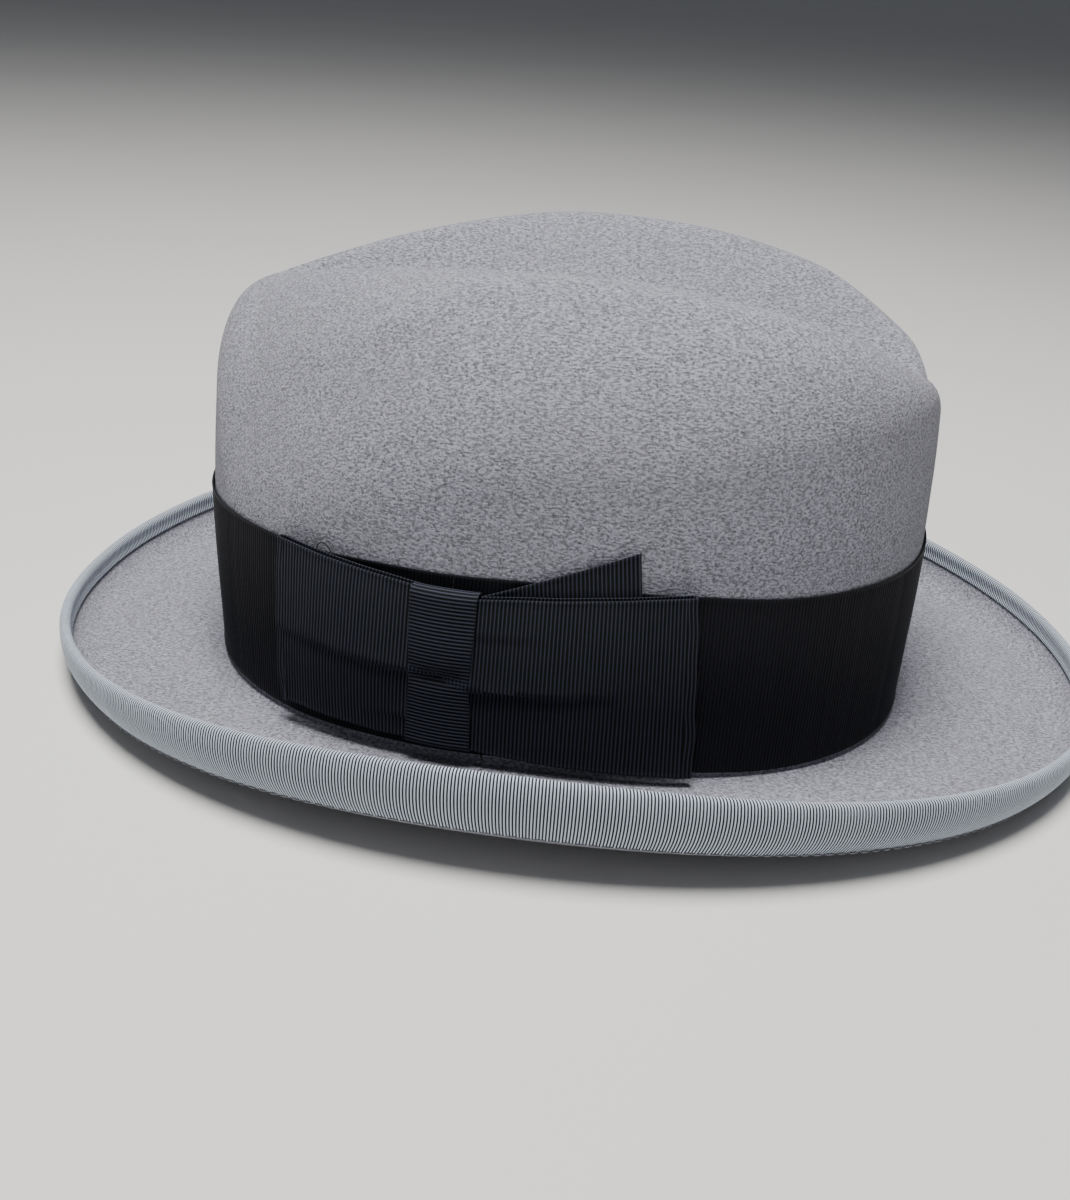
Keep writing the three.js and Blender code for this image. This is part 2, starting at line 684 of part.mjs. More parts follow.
// A thin clear sheet under the middle of the lining's tip.
function makeTipGuard(options) {
  const { halfWidth, halfLength, squareness, rows, stations } = TIP_GUARD;
  const profileAt = (drop) => (phi) =>
    Array.from({ length: rows + 1 }, (_, row) => {
      const radius = (ovalRadius(phi, halfWidth, halfLength, squareness) * row) / rows;
      return [radius, topAt(phi, radius) - drop];
    });
  const face = (drop) => gridFrom(roundStations(stations), profileAt(drop));
  const drop = LINING.tipDrop + LINING.thickness + 4 * GAP;
  add("tip_guard", solidBetween(face(drop), face(drop + GAP), options), clearFilm);
}

makeFelt();
makeBinding();
makeHatband();
makeBandTack("hatband_tack_rear", 4);
makeBandTack("hatband_tack_right", 270);
makeBandTack("hatband_tack_front", 184);
makeBow();
makeLooseThreads();
makeSweatband();
makeSweatbandTrim();
makeLining();

export default hat;
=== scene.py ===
# %% [markdown]
# # A grey fur-felt homburg hat
#
# The hat is a felt body with a rolled brim, a ribbon binding sewn over the brim's edge, a wide
# grosgrain band with a flat bow on the wearer's left, and a sweatband and lining inside.
# The imported model is the fixed frame. Each simple solid in it is replaced by a finer piece in the
# same place, so the first step loads the frame and keeps its box.

# %% Load the frame
import math

import bmesh
import bpy
import numpy as np
from mathutils import Matrix, Vector


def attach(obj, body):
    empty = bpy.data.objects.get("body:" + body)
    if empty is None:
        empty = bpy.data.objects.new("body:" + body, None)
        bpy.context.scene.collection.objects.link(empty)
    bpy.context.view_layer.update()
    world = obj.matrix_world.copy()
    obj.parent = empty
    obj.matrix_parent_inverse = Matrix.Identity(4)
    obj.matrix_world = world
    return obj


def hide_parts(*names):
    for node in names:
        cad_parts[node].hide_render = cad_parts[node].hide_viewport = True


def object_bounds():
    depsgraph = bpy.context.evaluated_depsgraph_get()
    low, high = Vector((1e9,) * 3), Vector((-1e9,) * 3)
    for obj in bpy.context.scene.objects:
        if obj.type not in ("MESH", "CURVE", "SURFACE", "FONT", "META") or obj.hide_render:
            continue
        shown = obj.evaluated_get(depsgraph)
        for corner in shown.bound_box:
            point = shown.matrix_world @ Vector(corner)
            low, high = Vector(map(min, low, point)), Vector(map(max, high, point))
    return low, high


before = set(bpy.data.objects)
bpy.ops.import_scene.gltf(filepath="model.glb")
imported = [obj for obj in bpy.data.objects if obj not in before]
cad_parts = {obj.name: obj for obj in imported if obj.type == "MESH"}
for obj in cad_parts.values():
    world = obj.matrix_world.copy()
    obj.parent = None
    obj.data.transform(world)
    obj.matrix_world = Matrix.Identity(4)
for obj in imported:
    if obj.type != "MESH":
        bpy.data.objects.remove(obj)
cad_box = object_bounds()
MM = 0.001  # the sizes below are in millimetres, and each mesh is made in metres
print("frame:", len(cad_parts), "nodes, box", [round(x, 4) for corner in cad_box for x in corner])

# %% [markdown]
# ## The camera
#
# A camera is a place, three axes and a lens. Here the axes are worked out from an azimuth, an elevation
# and a small roll about a point inside the crown, which is easier to adjust than a matrix.

# %% Place the camera
CAMERA_AZIMUTH = math.radians(95.79)
CAMERA_ELEVATION = math.radians(25.53)
CAMERA_ROLL = math.radians(3.95)
CAMERA_DISTANCE = 405.67
CAMERA_SLIDE = (12.44, 40.04)  # across and up, in millimetres
CAMERA_LENS = 40.784
AIM = Vector((0, 0, 60))


def place_camera():
    level = Vector((math.sin(CAMERA_AZIMUTH), -math.cos(CAMERA_AZIMUTH), 0))
    back = level * math.cos(CAMERA_ELEVATION) + Vector((0, 0, math.sin(CAMERA_ELEVATION)))
    right = (-back).cross(Vector((0, 0, 1))).normalized()
    up = right.cross(-back)
    place = AIM + back * CAMERA_DISTANCE - right * CAMERA_SLIDE[0] - up * CAMERA_SLIDE[1]
    rolled_right = right * math.cos(CAMERA_ROLL) + up * math.sin(CAMERA_ROLL)
    rolled_up = up * math.cos(CAMERA_ROLL) - right * math.sin(CAMERA_ROLL)
    axes = Matrix((rolled_right, rolled_up, back)).transposed().to_4x4()
    camera = bpy.data.objects.new("camera", bpy.data.cameras.new("camera"))
    camera.matrix_world = Matrix.Translation(place * MM) @ axes
    camera.data.lens = CAMERA_LENS
    camera.data.sensor_width = 36
    camera.data.clip_start = 0.01
    bpy.context.scene.collection.objects.link(camera)
    bpy.context.scene.camera = camera
    return camera


camera = place_camera()
print("camera at", [round(x, 3) for x in camera.matrix_world.translation], "lens", CAMERA_LENS)

# %% [markdown]
# ## Node helpers
#
# Materials and Geometry Nodes are both trees of nodes. A few small helpers keep the building of a tree
# readable: one adds a node and fills its inputs with values or with other nodes' outputs, one makes a
# group with named sockets, and the rest are short names for the nodes that are used most.

# %% Helpers for node trees
def add_node(tree, kind, inputs=None, **settings):
    made = tree.nodes.new(kind)
    for key, value in settings.items():
        setattr(made, key, value)
    for socket, value in (inputs or {}).items():
        if isinstance(value, bpy.types.NodeSocket):
            tree.links.new(value, made.inputs[socket])
        else:
            made.inputs[socket].default_value = value
    return made


def calculate(tree, operation, *values, clamp=False):
    """A Math node's result."""
    made = add_node(tree, "ShaderNodeMath", dict(enumerate(values)), operation=operation, use_clamp=clamp)
    return made.outputs[0]


def plus(tree, first, second):
    return calculate(tree, "ADD", first, second)


def minus(tree, first, second):
    return calculate(tree, "SUBTRACT", first, second)


def times(tree, first, second, **options):
    return calculate(tree, "MULTIPLY", first, second, **options)


def sine(tree, value, scale):
    """The sine of a value times a scale."""
    return calculate(tree, "SINE", times(tree, value, scale))


def weighted(tree, first, first_weight, second, second_weight):
    """A sum of two values, each times its weight."""
    return plus(tree, times(tree, first, first_weight), times(tree, second, second_weight))


def blend_colors(tree, share, first, second, blend_type="MIX"):
    """A colour between two, by a share from 0 to 1."""
    made = add_node(tree, "ShaderNodeMix", data_type="RGBA", blend_type=blend_type)
    sockets = {"Factor": 0, "A": 6, "B": 7}
    for key, value in (("Factor", share), ("A", first), ("B", second)):
        socket = made.inputs[sockets[key]]
        if isinstance(value, bpy.types.NodeSocket):
            tree.links.new(value, socket)
        else:
            socket.default_value = value if key == "Factor" else (*value, 1)
    return made.outputs[2]


def spread(tree, value, low, high, to_low=0.0, to_high=1.0):
    """A value moved from one range to another, and held inside it."""
    made = add_node(
        tree,
        "ShaderNodeMapRange",
        {"Value": value, "From Min": low, "From Max": high, "To Min": to_low, "To Max": to_high},
    )
    return made.outputs[0]


def new_group(name, kind, inputs, outputs):
    """A node group, its input node and its output node. Sockets are (name, type, default) rows."""
    tree = bpy.data.node_groups.new(name, kind)
    for way, rows in (("INPUT", inputs), ("OUTPUT", outputs)):
        for label, socket_type, *default in rows:
            socket = tree.interface.new_socket(label, in_out=way, socket_type=socket_type)
            if default:
                socket.default_value = default[0]
    return tree, tree.nodes.new("NodeGroupInput"), tree.nodes.new("NodeGroupOutput")


def noise(tree, vector, scale, detail=2.0, roughness=0.5):
    inputs = {"Vector": vector, "Scale": scale, "Detail": detail, "Roughness": roughness}
    return add_node(tree, "ShaderNodeTexNoise", inputs).outputs[0]


print("helpers ready")

# %% [markdown]
# ## Shared surface effects
#
# Four effects are each a shader group: the speckle of short fibres, the ribs of grosgrain, faint dust and
# wear, and a fine weave. All but the speckle serve more than one finish. They put out masks and heights
# only.
# The Principled shader stays in each material.

# %% Shader groups
def build_speckle_group():
    """Short fibres at three sizes: single fibres, small clumps and slow patches."""
    tree, given, result = new_group(
        "fibre_speckle",
        "ShaderNodeTree",
        [("Vector", "NodeSocketVector"), ("Clump Size", "NodeSocketFloat", 0.0012)],
        [("Speckle", "NodeSocketFloat"), ("Patches", "NodeSocketFloat"), ("Height", "NodeSocketFloat")],
    )
    vector = given.outputs["Vector"]
    fine_scale = calculate(tree, "DIVIDE", 1.0, given.outputs["Clump Size"])
    clumps = noise(tree, vector, fine_scale, detail=3.0, roughness=0.6)
    fibres = noise(tree, vector, times(tree, fine_scale, 2.7), detail=2.0, roughness=0.7)
    both = weighted(tree, clumps, 0.55, fibres, 0.45)
    slow = noise(tree, vector, 28.0, detail=3.0)
    tree.links.new(spread(tree, both, 0.36, 0.64), result.inputs["Speckle"])
    tree.links.new(spread(tree, slow, 0.3, 0.7), result.inputs["Patches"])
    tree.links.new(both, result.inputs["Height"])
    return tree


def build_rib_group():
    """Ribs across a ribbon: the first UV value counts the ribs, the second runs from edge to edge."""
    tree, given, result = new_group(
        "grosgrain_ribs",
        "ShaderNodeTree",
        [
            ("UV", "NodeSocketVector"),
            ("Unevenness", "NodeSocketFloat", 0.3),
            ("Top Width", "NodeSocketFloat", 0.22),
            ("Valley Width", "NodeSocketFloat", 0.5),
        ],
        [("Valley", "NodeSocketFloat"), ("Tone", "NodeSocketFloat"), ("Height", "NodeSocketFloat")],
    )
    parts = add_node(tree, "ShaderNodeSeparateXYZ", {"Vector": given.outputs["UV"]})
    count, across = parts.outputs[0], parts.outputs[1]
    place = calculate(tree, "FRACT", count)
    from_middle = calculate(tree, "ABSOLUTE", minus(tree, place, 0.5))
    # The valley mask also says where the grosgrain materials paint shade between the ribs.
    valley = spread(tree, from_middle, given.outputs["Top Width"], given.outputs["Valley Width"])
    rib_number = calculate(tree, "FLOOR", count)
    rib_place = add_node(tree, "ShaderNodeCombineXYZ", {0: rib_number, 1: times(tree, across, 7.0)})
    tone = noise(tree, rib_place.outputs[0], 0.9, detail=2.0)
    uneven = spread(tree, tone, 0.3, 0.7)
    tone_out = times(tree, uneven, given.outputs["Unevenness"])
    # Fine weft threads cross each rib, which shows as a slight beading.
    beads = sine(tree, across, 900.0)
    height = plus(tree, minus(tree, 1.0, valley), times(tree, beads, 0.06))
    tree.links.new(valley, result.inputs["Valley"])
    tree.links.new(tone_out, result.inputs["Tone"])
    tree.links.new(height, result.inputs["Height"])
    return tree


def build_dust_group():
    """Sparse light specks and soft pale patches, for dust, lint and rubbing."""
    tree, given, result = new_group(
        "dust_and_wear",
        "ShaderNodeTree",
        [("Vector", "NodeSocketVector"), ("Amount", "NodeSocketFloat", 0.3)],
        [("Dust", "NodeSocketFloat")],
    )
    specks = spread(tree, noise(tree, given.outputs["Vector"], 420.0, detail=2.0), 0.68, 0.76)
    clouds = noise(tree, given.outputs["Vector"], 45.0, detail=4.0, roughness=0.7)
    patches = spread(tree, clouds, 0.45, 0.75)
    both = weighted(tree, specks, 0.6, patches, 0.5)
    dust = times(tree, both, given.outputs["Amount"], clamp=True)
    tree.links.new(dust, result.inputs["Dust"])
    return tree


def build_weave_group():
    """A plain weave of fine threads, for satin, tape and sewing thread."""
    tree, given, result = new_group(
        "fine_weave",
        "ShaderNodeTree",
        [
            ("UV", "NodeSocketVector"),
            ("Threads", "NodeSocketFloat", 900.0),
            ("Slant", "NodeSocketFloat", 0.0),
        ],
        [("Threads", "NodeSocketFloat"), ("Tone", "NodeSocketFloat")],
    )
    parts = add_node(tree, "ShaderNodeSeparateXYZ", {"Vector": given.outputs["UV"]})
    u, v = parts.outputs[0], parts.outputs[1]
    slanted = plus(tree, v, times(tree, u, given.outputs["Slant"]))
    lengthways = sine(tree, slanted, given.outputs["Threads"])
    crossways = sine(tree, u, given.outputs["Threads"])
    woven = weighted(tree, lengthways, 0.7, crossways, 0.3)
    tree.links.new(spread(tree, woven, -1.0, 1.0), result.inputs["Threads"])
    slow = noise(tree, given.outputs["UV"], 40.0, detail=3.0)
    tree.links.new(spread(tree, slow, 0.3, 0.7), result.inputs["Tone"])
    return tree


speckle_group = build_speckle_group()
rib_group = build_rib_group()
dust_group = build_dust_group()
weave_group = build_weave_group()
print("shader groups:", [group.name for group in (speckle_group, rib_group, dust_group, weave_group)])

# %% [markdown]
# ## Finishes
#
# Felt, two colours of grosgrain, thread, leather, satin, tape, paper-like label cloth and clear film.
# Each material starts from one Principled shader. Patterns on cloth follow the piece's own UV map, and
# patterns in the felt and leather read Object coordinates, so they have the same size everywhere.

# %% Helpers for materials
def new_material(name, **shader_values):
    """A material, its tree and its Principled shader with constants on the shader's own sockets."""
    material = bpy.data.materials.new(name)
    material.use_nodes = True
    tree = material.node_tree
    shader = tree.nodes["Principled BSDF"]
    for key, value in shader_values.items():
        shader.inputs[key.replace("_", " ").title().replace("Ior", "IOR")].default_value = value
    return material, tree, shader


def use_group(tree, group, inputs):
    made = add_node(tree, "ShaderNodeGroup", node_tree=group)
    for key, value in inputs.items():
        if isinstance(value, bpy.types.NodeSocket):
            tree.links.new(value, made.inputs[key])
        else:
            made.inputs[key].default_value = value
    return made


def coordinates(tree, which):
    return add_node(tree, "ShaderNodeTexCoord").outputs[which]


def add_bump(tree, shader, height, strength, distance):
    bump = add_node(tree, "ShaderNodeBump", {"Height": height, "Strength": strength, "Distance": distance})
    tree.links.new(bump.outputs[0], shader.inputs["Normal"])


print("material helpers ready")


# %% Felt
FELT_LIGHT = (0.42, 0.425, 0.49)
FELT_DARK = (0.03, 0.029, 0.034)
FELT_PATCH = (0.22, 0.216, 0.235)


def make_felt_material():
    material, tree, shader = new_material(
        "grey_fur_felt",
        roughness=0.93,
        specular_ior_level=0.25,
        sheen_weight=0.1,
        sheen_roughness=0.5,
        sheen_tint=(0.9, 0.88, 0.92, 1),
    )
    place = coordinates(tree, "Object")
    speckle = use_group(tree, speckle_group, {"Vector": place, "Clump Size": 0.0006})
    # The nap is brushed one way round the crown, so the clumps are drawn out along a slant.
    brushing = {"Vector": place, "Rotation": (0.6, 0.0, 0.0), "Scale": (1, 0.5, 1)}
    brushed = add_node(tree, "ShaderNodeMapping", brushing)
    nap = spread(tree, noise(tree, brushed.outputs[0], 1700.0, detail=2.0), 0.4, 0.6)
    mixed = weighted(tree, speckle.outputs["Speckle"], 0.6, nap, 0.4)
    tone = blend_colors(tree, mixed, FELT_DARK, FELT_LIGHT)
    patches = times(tree, speckle.outputs["Patches"], 0.22)
    patchy = blend_colors(tree, patches, tone, FELT_PATCH)
    tree.links.new(patchy, shader.inputs["Base Color"])
    height = plus(tree, speckle.outputs["Height"], times(tree, nap, 0.25))
    add_bump(tree, shader, height, 0.9, 0.0005)
    return material


felt_grey = make_felt_material()
print("made", felt_grey.name)


# %% Grosgrain
def make_grosgrain(name, top, valley, dusty, dust_amount, roughness, sheen, specular, widths):
    """widths are where a rib's pale top ends and its painted valley shade begins, as shares of the rib
    pitch.
    """
    material, tree, shader = new_material(
        name, roughness=roughness, specular_ior_level=specular, sheen_weight=sheen, sheen_roughness=0.35
    )
    profile = {"Unevenness": 0.5, "Top Width": widths[0], "Valley Width": widths[1]}
    ribs = use_group(tree, rib_group, {"UV": coordinates(tree, "UV"), **profile})
    dust = use_group(tree, dust_group, {"Vector": coordinates(tree, "Object"), "Amount": dust_amount})
    darker = tuple(0.62 * x for x in top)
    rib_color = blend_colors(tree, ribs.outputs["Tone"], top, darker)
    # The valley colour is painted shade, darkest in each hollow between the ribs.
    valley_shaded = blend_colors(tree, ribs.outputs["Valley"], rib_color, valley)
    worn = blend_colors(tree, dust.outputs["Dust"], valley_shaded, dusty)
    tree.links.new(worn, shader.inputs["Base Color"])
    rough = spread(tree, ribs.outputs["Valley"], 0.0, 1.0, roughness, 0.9)
    tree.links.new(rough, shader.inputs["Roughness"])
    add_bump(tree, shader, ribs.outputs["Height"], 0.35, 0.0002)
    return material


# The valley colours are painted shade for the hollows between the ribs.
NAVY_VALLEY_SHADE = (0.0012, 0.0012, 0.002)
# The bow is the same navy ribbon as the band, but its copy has painted light: lighter rib tops, narrower
# tops and more painted valley shade.
BAND_TOP, BOW_TOP_PAINTED_LIGHTER = (0.005, 0.0055, 0.01), (0.032, 0.037, 0.06)
BINDING_TOP, BINDING_VALLEY_SHADE = (0.64, 0.72, 0.83), (0.003, 0.0035, 0.006)
NAVY_DUST, GREY_DUST = (0.05, 0.05, 0.06), (0.5, 0.5, 0.52)
ribbon_navy = make_grosgrain(
    "navy_grosgrain",
    BAND_TOP,
    NAVY_VALLEY_SHADE,
    NAVY_DUST,
    dust_amount=0.1,
    roughness=0.65,
    sheen=0.03,
    specular=0.2,
    widths=(0.2, 0.48),
)
# A lit copy of the band's navy ribbon, with painted light on its rib tops and more painted valley shade.
bow_navy_painted_lighter = make_grosgrain(
    "bow_grosgrain_painted_lighter",
    BOW_TOP_PAINTED_LIGHTER,
    NAVY_VALLEY_SHADE,
    NAVY_DUST,
    dust_amount=0.1,
    roughness=0.6,
    sheen=0.02,
    specular=0.25,
    widths=(0.03, 0.3),
)
ribbon_grey = make_grosgrain(
    "grey_blue_grosgrain",
    BINDING_TOP,
    BINDING_VALLEY_SHADE,
    GREY_DUST,
    dust_amount=0.15,
    roughness=0.5,
    sheen=0.05,
    specular=0.35,
    widths=(0.1, 0.34),
)
print("made", ribbon_navy.name, "and", ribbon_grey.name)


# %% Thread, satin, tape and label cloth
def make_woven(name, color, dark, threads, slant, roughness, bump, **extra):
    material, tree, shader = new_material(name, roughness=roughness, **extra)
    weave = use_group(
        tree, weave_group, {"UV": coordinates(tree, "UV"), "Threads": threads, "Slant": slant}
    )
    dust = use_group(tree, dust_group, {"Vector": coordinates(tree, "Object"), "Amount": 0.25})
    woven = blend_colors(tree, weave.outputs["Threads"], dark, color)
    toned = blend_colors(tree, times(tree, weave.outputs["Tone"], 0.3), woven, dark)
    aged = blend_colors(tree, dust.outputs["Dust"], toned, tuple(0.8 * x for x in color))
    tree.links.new(aged, shader.inputs["Base Color"])
    add_bump(tree, shader, weave.outputs["Threads"], bump, 0.00015)
    return material


thread_grey = make_woven("grey_thread", (0.34, 0.35, 0.38), (0.1, 0.1, 0.12), 18.0, 3.0, 0.7, 0.5)
thread_navy = make_woven("navy_thread", (0.02, 0.02, 0.028), (0.004, 0.004, 0.006), 18.0, 3.0, 0.7, 0.5)
satin = make_woven(
    "ivory_satin", (0.62, 0.57, 0.49), (0.46, 0.42, 0.35), 5200.0, 0.25, 0.34, 0.12, sheen_weight=0.2
)
tape_cloth = make_woven("cream_tape", (0.6, 0.53, 0.42), (0.36, 0.31, 0.24), 5600.0, 0.0, 0.8, 0.5)
label_cloth = make_woven("label_cloth", (0.72, 0.68, 0.6), (0.55, 0.51, 0.44), 6800.0, 0.0, 0.75, 0.3)
print("made", [m.name for m in (thread_grey, thread_navy, satin, tape_cloth, label_cloth)])


# %% Leather and clear film
HIDE_DARK, HIDE_LIGHT = (0.2, 0.088, 0.036), (0.3, 0.15, 0.068)
HIDE_CREASE, HIDE_RUBBED = (0.09, 0.038, 0.016), (0.42, 0.26, 0.15)
FILM_CLEAR, FILM_YELLOWED = (0.8, 0.8, 0.76), (0.55, 0.52, 0.44)


def make_leather():
    material, tree, shader = new_material(
        "tan_leather", roughness=0.5, specular_ior_level=0.4, coat_weight=0.08
    )
    place = coordinates(tree, "Object")
    cells = {"Vector": place, "Scale": 900.0}
    pores = add_node(tree, "ShaderNodeTexVoronoi", cells, feature="DISTANCE_TO_EDGE")
    grain = spread(tree, pores.outputs[0], 0.0, 0.25)
    worn = use_group(tree, dust_group, {"Vector": place, "Amount": 0.5})
    slow = spread(tree, noise(tree, place, 32.0, detail=4.0), 0.3, 0.7)
    hide = blend_colors(tree, slow, HIDE_DARK, HIDE_LIGHT)
    creases = times(tree, minus(tree, 1.0, grain), 0.5)
    grained = blend_colors(tree, creases, hide, HIDE_CREASE)
    rubbed = blend_colors(tree, worn.outputs["Dust"], grained, HIDE_RUBBED)
    tree.links.new(rubbed, shader.inputs["Base Color"])
    tree.links.new(spread(tree, slow, 0.0, 1.0, 0.42, 0.62), shader.inputs["Roughness"])
    add_bump(tree, shader, grain, 0.35, 0.00025)
    return material


def make_film():
    material, tree, shader = new_material(
        "clear_film", roughness=0.12, specular_ior_level=0.5, coat_weight=0.3
    )
    place = coordinates(tree, "Object")
    haze = spread(tree, noise(tree, place, 60.0, detail=4.0), 0.35, 0.7, 0.1, 0.28)
    tree.links.new(blend_colors(tree, haze, FILM_CLEAR, FILM_YELLOWED), shader.inputs["Base Color"])
    tree.links.new(spread(tree, haze, 0.1, 0.28, 0.3, 0.42), shader.inputs["Alpha"])
    tree.links.new(haze, shader.inputs["Roughness"])
    add_bump(tree, shader, haze, 0.2, 0.0004)
    return material


leather = make_leather()
clear_film = make_film()
print("made", leather.name, "and", clear_film.name)

# %% [markdown]
# ## The shape of the hat
#
# Everything lies on two surfaces: the crown and the brim. Each is described round the crown's upright
# centre line by an angle: 0 is the rear, 90 degrees the wearer's left and 180 degrees the front.
# The functions take whole arrays of angles, which is much faster than a loop over points.

# %% Driving dimensions, in millimetres
CENTRE_Y = -3.8  # the crown stands a little forward of the brim's middle
CROWN_HALF_LENGTH, CROWN_HALF_WIDTH, CROWN_SQUARENESS = 102.9, 83.6, 2.25
LEAN, LEAN_TOP, SWELL, END_TAPER, SIDE_TAPER = 1.0, 60.0, 1.7, 3.3, 6.3
TAPER_HEIGHT = 100.0
GUTTER_CLOSING = {"front": 1.8, "rear": 4.0}  # a higher power closes the gutter later
TOP_HEIGHT, RIDGE_SPREAD, RIDGE_FRONT, RIDGE_REAR = 126.7, 45.2, 90.0, 105.0
DENT_SHARE, DENT_POWER, SHOULDER_FALL = 0.56, 1.35, 0.018
SHOULDER_REACH = (9.5, 26.0)  # at the ends and at the sides, as are the pairs below
CREST_TILT, CREST_BOW, CREST_TWIST = 0.0131, 0.00213, 1.96e-6
BRIM_HALF_LENGTH, BRIM_HALF_WIDTH, BRIM_SQUARENESS = 155.0, 123.0, 2.08
BREAK_RADIUS, BREAK_HEIGHT = 1.5, (3.0, 7.4)
CURL_HEIGHT, WIDEST_HEIGHT = (1.6, 5.4), (9.8, 23.0)
EDGE_HEIGHT, EDGE_INSET = (11.3, 26.9), (0.0, 0.8)
FELT_THICKNESS, RIBBON_THICKNESS, THREAD_DIAMETER = 2.0, 0.5, 0.4
BAND_WIDTH, BAND_CLEAR = 49.8, 0.5
BINDING_INNER, BINDING_OUTER = 4.0, (9.6, 15.0)


# %% Ovals, the crown's wall and its top
def between(phi, pair):
    """A size that is the first value at the hat's two ends and the second at its two sides."""
    return pair[0] + (pair[1] - pair[0]) * np.sin(phi) ** 2


def smooth_share(value, low, high):
    share = np.clip((value - low) / (high - low), 0, 1)
    return share * share * (3 - 2 * share)


def oval_radius(phi, half_width, half_length, squareness):
    across = np.abs(np.sin(phi) / half_width) ** squareness
    along = np.abs(np.cos(phi) / half_length) ** squareness
    return (across + along) ** (-1 / squareness)


def wall_radius(phi, z):
    above = smooth_share(z, 0, LEAN_TOP)
    taper = (np.maximum(z, 0) / TAPER_HEIGHT) ** 3
    half_length = CROWN_HALF_LENGTH + SWELL * above - END_TAPER * taper
    half_width = CROWN_HALF_WIDTH - SIDE_TAPER * taper
    return oval_radius(phi, half_width, half_length - LEAN * above * np.cos(phi), CROWN_SQUARENESS)


def top_height(x, y):
    """Two ridges that meet at the front, with an open gutter between them."""
    reach = np.where(y > 0, y / RIDGE_REAR, -y / RIDGE_FRONT)
    power = np.where(y > 0, GUTTER_CLOSING["rear"], GUTTER_CLOSING["front"])
    closing = np.maximum(1 - np.abs(reach) ** power, 0)
    ridge = RIDGE_SPREAD * np.where(y > 0, np.sqrt(closing), closing)
    crest = TOP_HEIGHT + CREST_TILT * y - CREST_BOW * y**2 - CREST_TWIST * y**3
    across = np.abs(x)
    inward = np.cos(np.pi / 2 * np.minimum(across / np.maximum(ridge, 1e-6), 1))
    inside = DENT_SHARE * ridge * inward**DENT_POWER
    outside = SHOULDER_FALL * (across - ridge) ** 2
    return crest - np.where(across < ridge, inside, outside)


def top_at(phi, radius):
    return top_height(radius * np.sin(phi), radius * np.cos(phi))


def to_points(phi, radius, z):
    """Points from an angle, a distance from the crown's centre line and a height."""
    return np.stack([radius * np.sin(phi), radius * np.cos(phi) + CENTRE_Y, z + 0 * radius * phi], axis=-1)


STRETCH_HEIGHT = 30


def wall_stretch(phi):
    """How much farther a ray from the centre line runs than the wall's normal does."""
    step = 0.01
    change = wall_radius(phi + step, STRETCH_HEIGHT) - wall_radius(phi - step, STRETCH_HEIGHT)
    return np.hypot(1, change / (2 * step * wall_radius(phi, STRETCH_HEIGHT)))


def beside_wall(phi, z, out):
    """Points beside the crown's wall, out millimetres outside it."""
    return to_points(phi, wall_radius(phi, z) + out * wall_stretch(phi), z)


def wall_foot(phi):
    return between(phi, BREAK_HEIGHT) + BREAK_RADIUS


def band_bottom(phi):
    return wall_foot(phi) + BAND_CLEAR


def band_top(phi):
    return band_bottom(phi) + BAND_WIDTH


print("crown top", round(float(top_height(np.float64(RIDGE_SPREAD), np.float64(0))), 1), "mm")


# %% Whole profiles of the crown and the brim
def crown_profile(phi, top_rows, shoulder_rows, wall_rows, foot):
    """Rows of radius and height from the middle of the top down to foot."""
    corner_z = np.full_like(phi, TAPER_HEIGHT)
    for _ in range(12):
        corner_z = top_at(phi, wall_radius(phi, corner_z))
    corner = wall_radius(phi, corner_z)
    reach = between(phi, SHOULDER_REACH)
    top_edge, wall_top = corner - reach, corner_z - reach
    share = np.linspace(0, 1, top_rows + 1)[:, None]
    radii, heights = [share * top_edge], [top_at(phi, share * top_edge)]
    share = np.linspace(0, 1, shoulder_rows + 1)[1:, None]
    weights = (1 - share) ** 2, 2 * share * (1 - share), share**2
    radii.append(weights[0] * top_edge + weights[1] * corner + weights[2] * wall_radius(phi, wall_top))
    heights.append(weights[0] * top_at(phi, top_edge) + weights[1] * corner_z + weights[2] * wall_top)
    share = np.linspace(0, 1, wall_rows + 1)[1:, None]
    wall_z = wall_top + (foot - wall_top) * share
    radii.append(wall_radius(phi, wall_z))
    heights.append(wall_z)
    return np.concatenate(radii), np.concatenate(heights)


def bezier(points, count):
    """A Bezier curve through 3 or 4 control values, without its first point."""
    share = np.linspace(0, 1, count + 1)[1:, None]
    degree = len(points) - 1
    weights = [math.comb(degree, i) * (1 - share) ** (degree - i) * share**i for i in range(degree + 1)]
    return sum(weight * point for weight, point in zip(weights, points))


def brim_radius(phi):
    half_length = BRIM_HALF_LENGTH - CENTRE_Y * np.cos(phi)
    return oval_radius(phi, BRIM_HALF_WIDTH, half_length, BRIM_SQUARENESS)


def brim_path(phi):
    """The brim's top face, densely, from the foot of the crown's wall to the upturned edge."""
    foot = wall_foot(phi)
    start = wall_radius(phi, foot)
    level, low = between(phi, BREAK_HEIGHT), between(phi, CURL_HEIGHT)
    widest_z, edge_z = between(phi, WIDEST_HEIGHT), between(phi, EDGE_HEIGHT)
    widest = brim_radius(phi) - FELT_THICKNESS / 2
    curl, inset = widest_z - low, between(phi, EDGE_INSET)
    flat, curl_start = start + BREAK_RADIUS, widest - curl
    mix = lambda a, b, share: a + (b - a) * share
    turn = np.linspace(-np.pi / 2, 0, 31)[1:, None]
    radii = [
        start[None],
        bezier([start, start, flat], 8),
        bezier([flat, mix(flat, curl_start, 0.4), mix(flat, curl_start, 0.6), curl_start], 60),
        curl_start + curl * np.cos(turn),
        bezier([widest, widest, widest - inset / 2, widest - inset], 24),
    ]
    heights = [
        foot[None],
        bezier([foot, level, level], 8),
        bezier([level, level, low, low], 60),
        widest_z + curl * np.sin(turn),
        bezier([widest_z, mix(widest_z, edge_z, 0.4), mix(widest_z, edge_z, 0.7), edge_z], 24),
    ]
    return np.concatenate(radii), np.concatenate(heights)


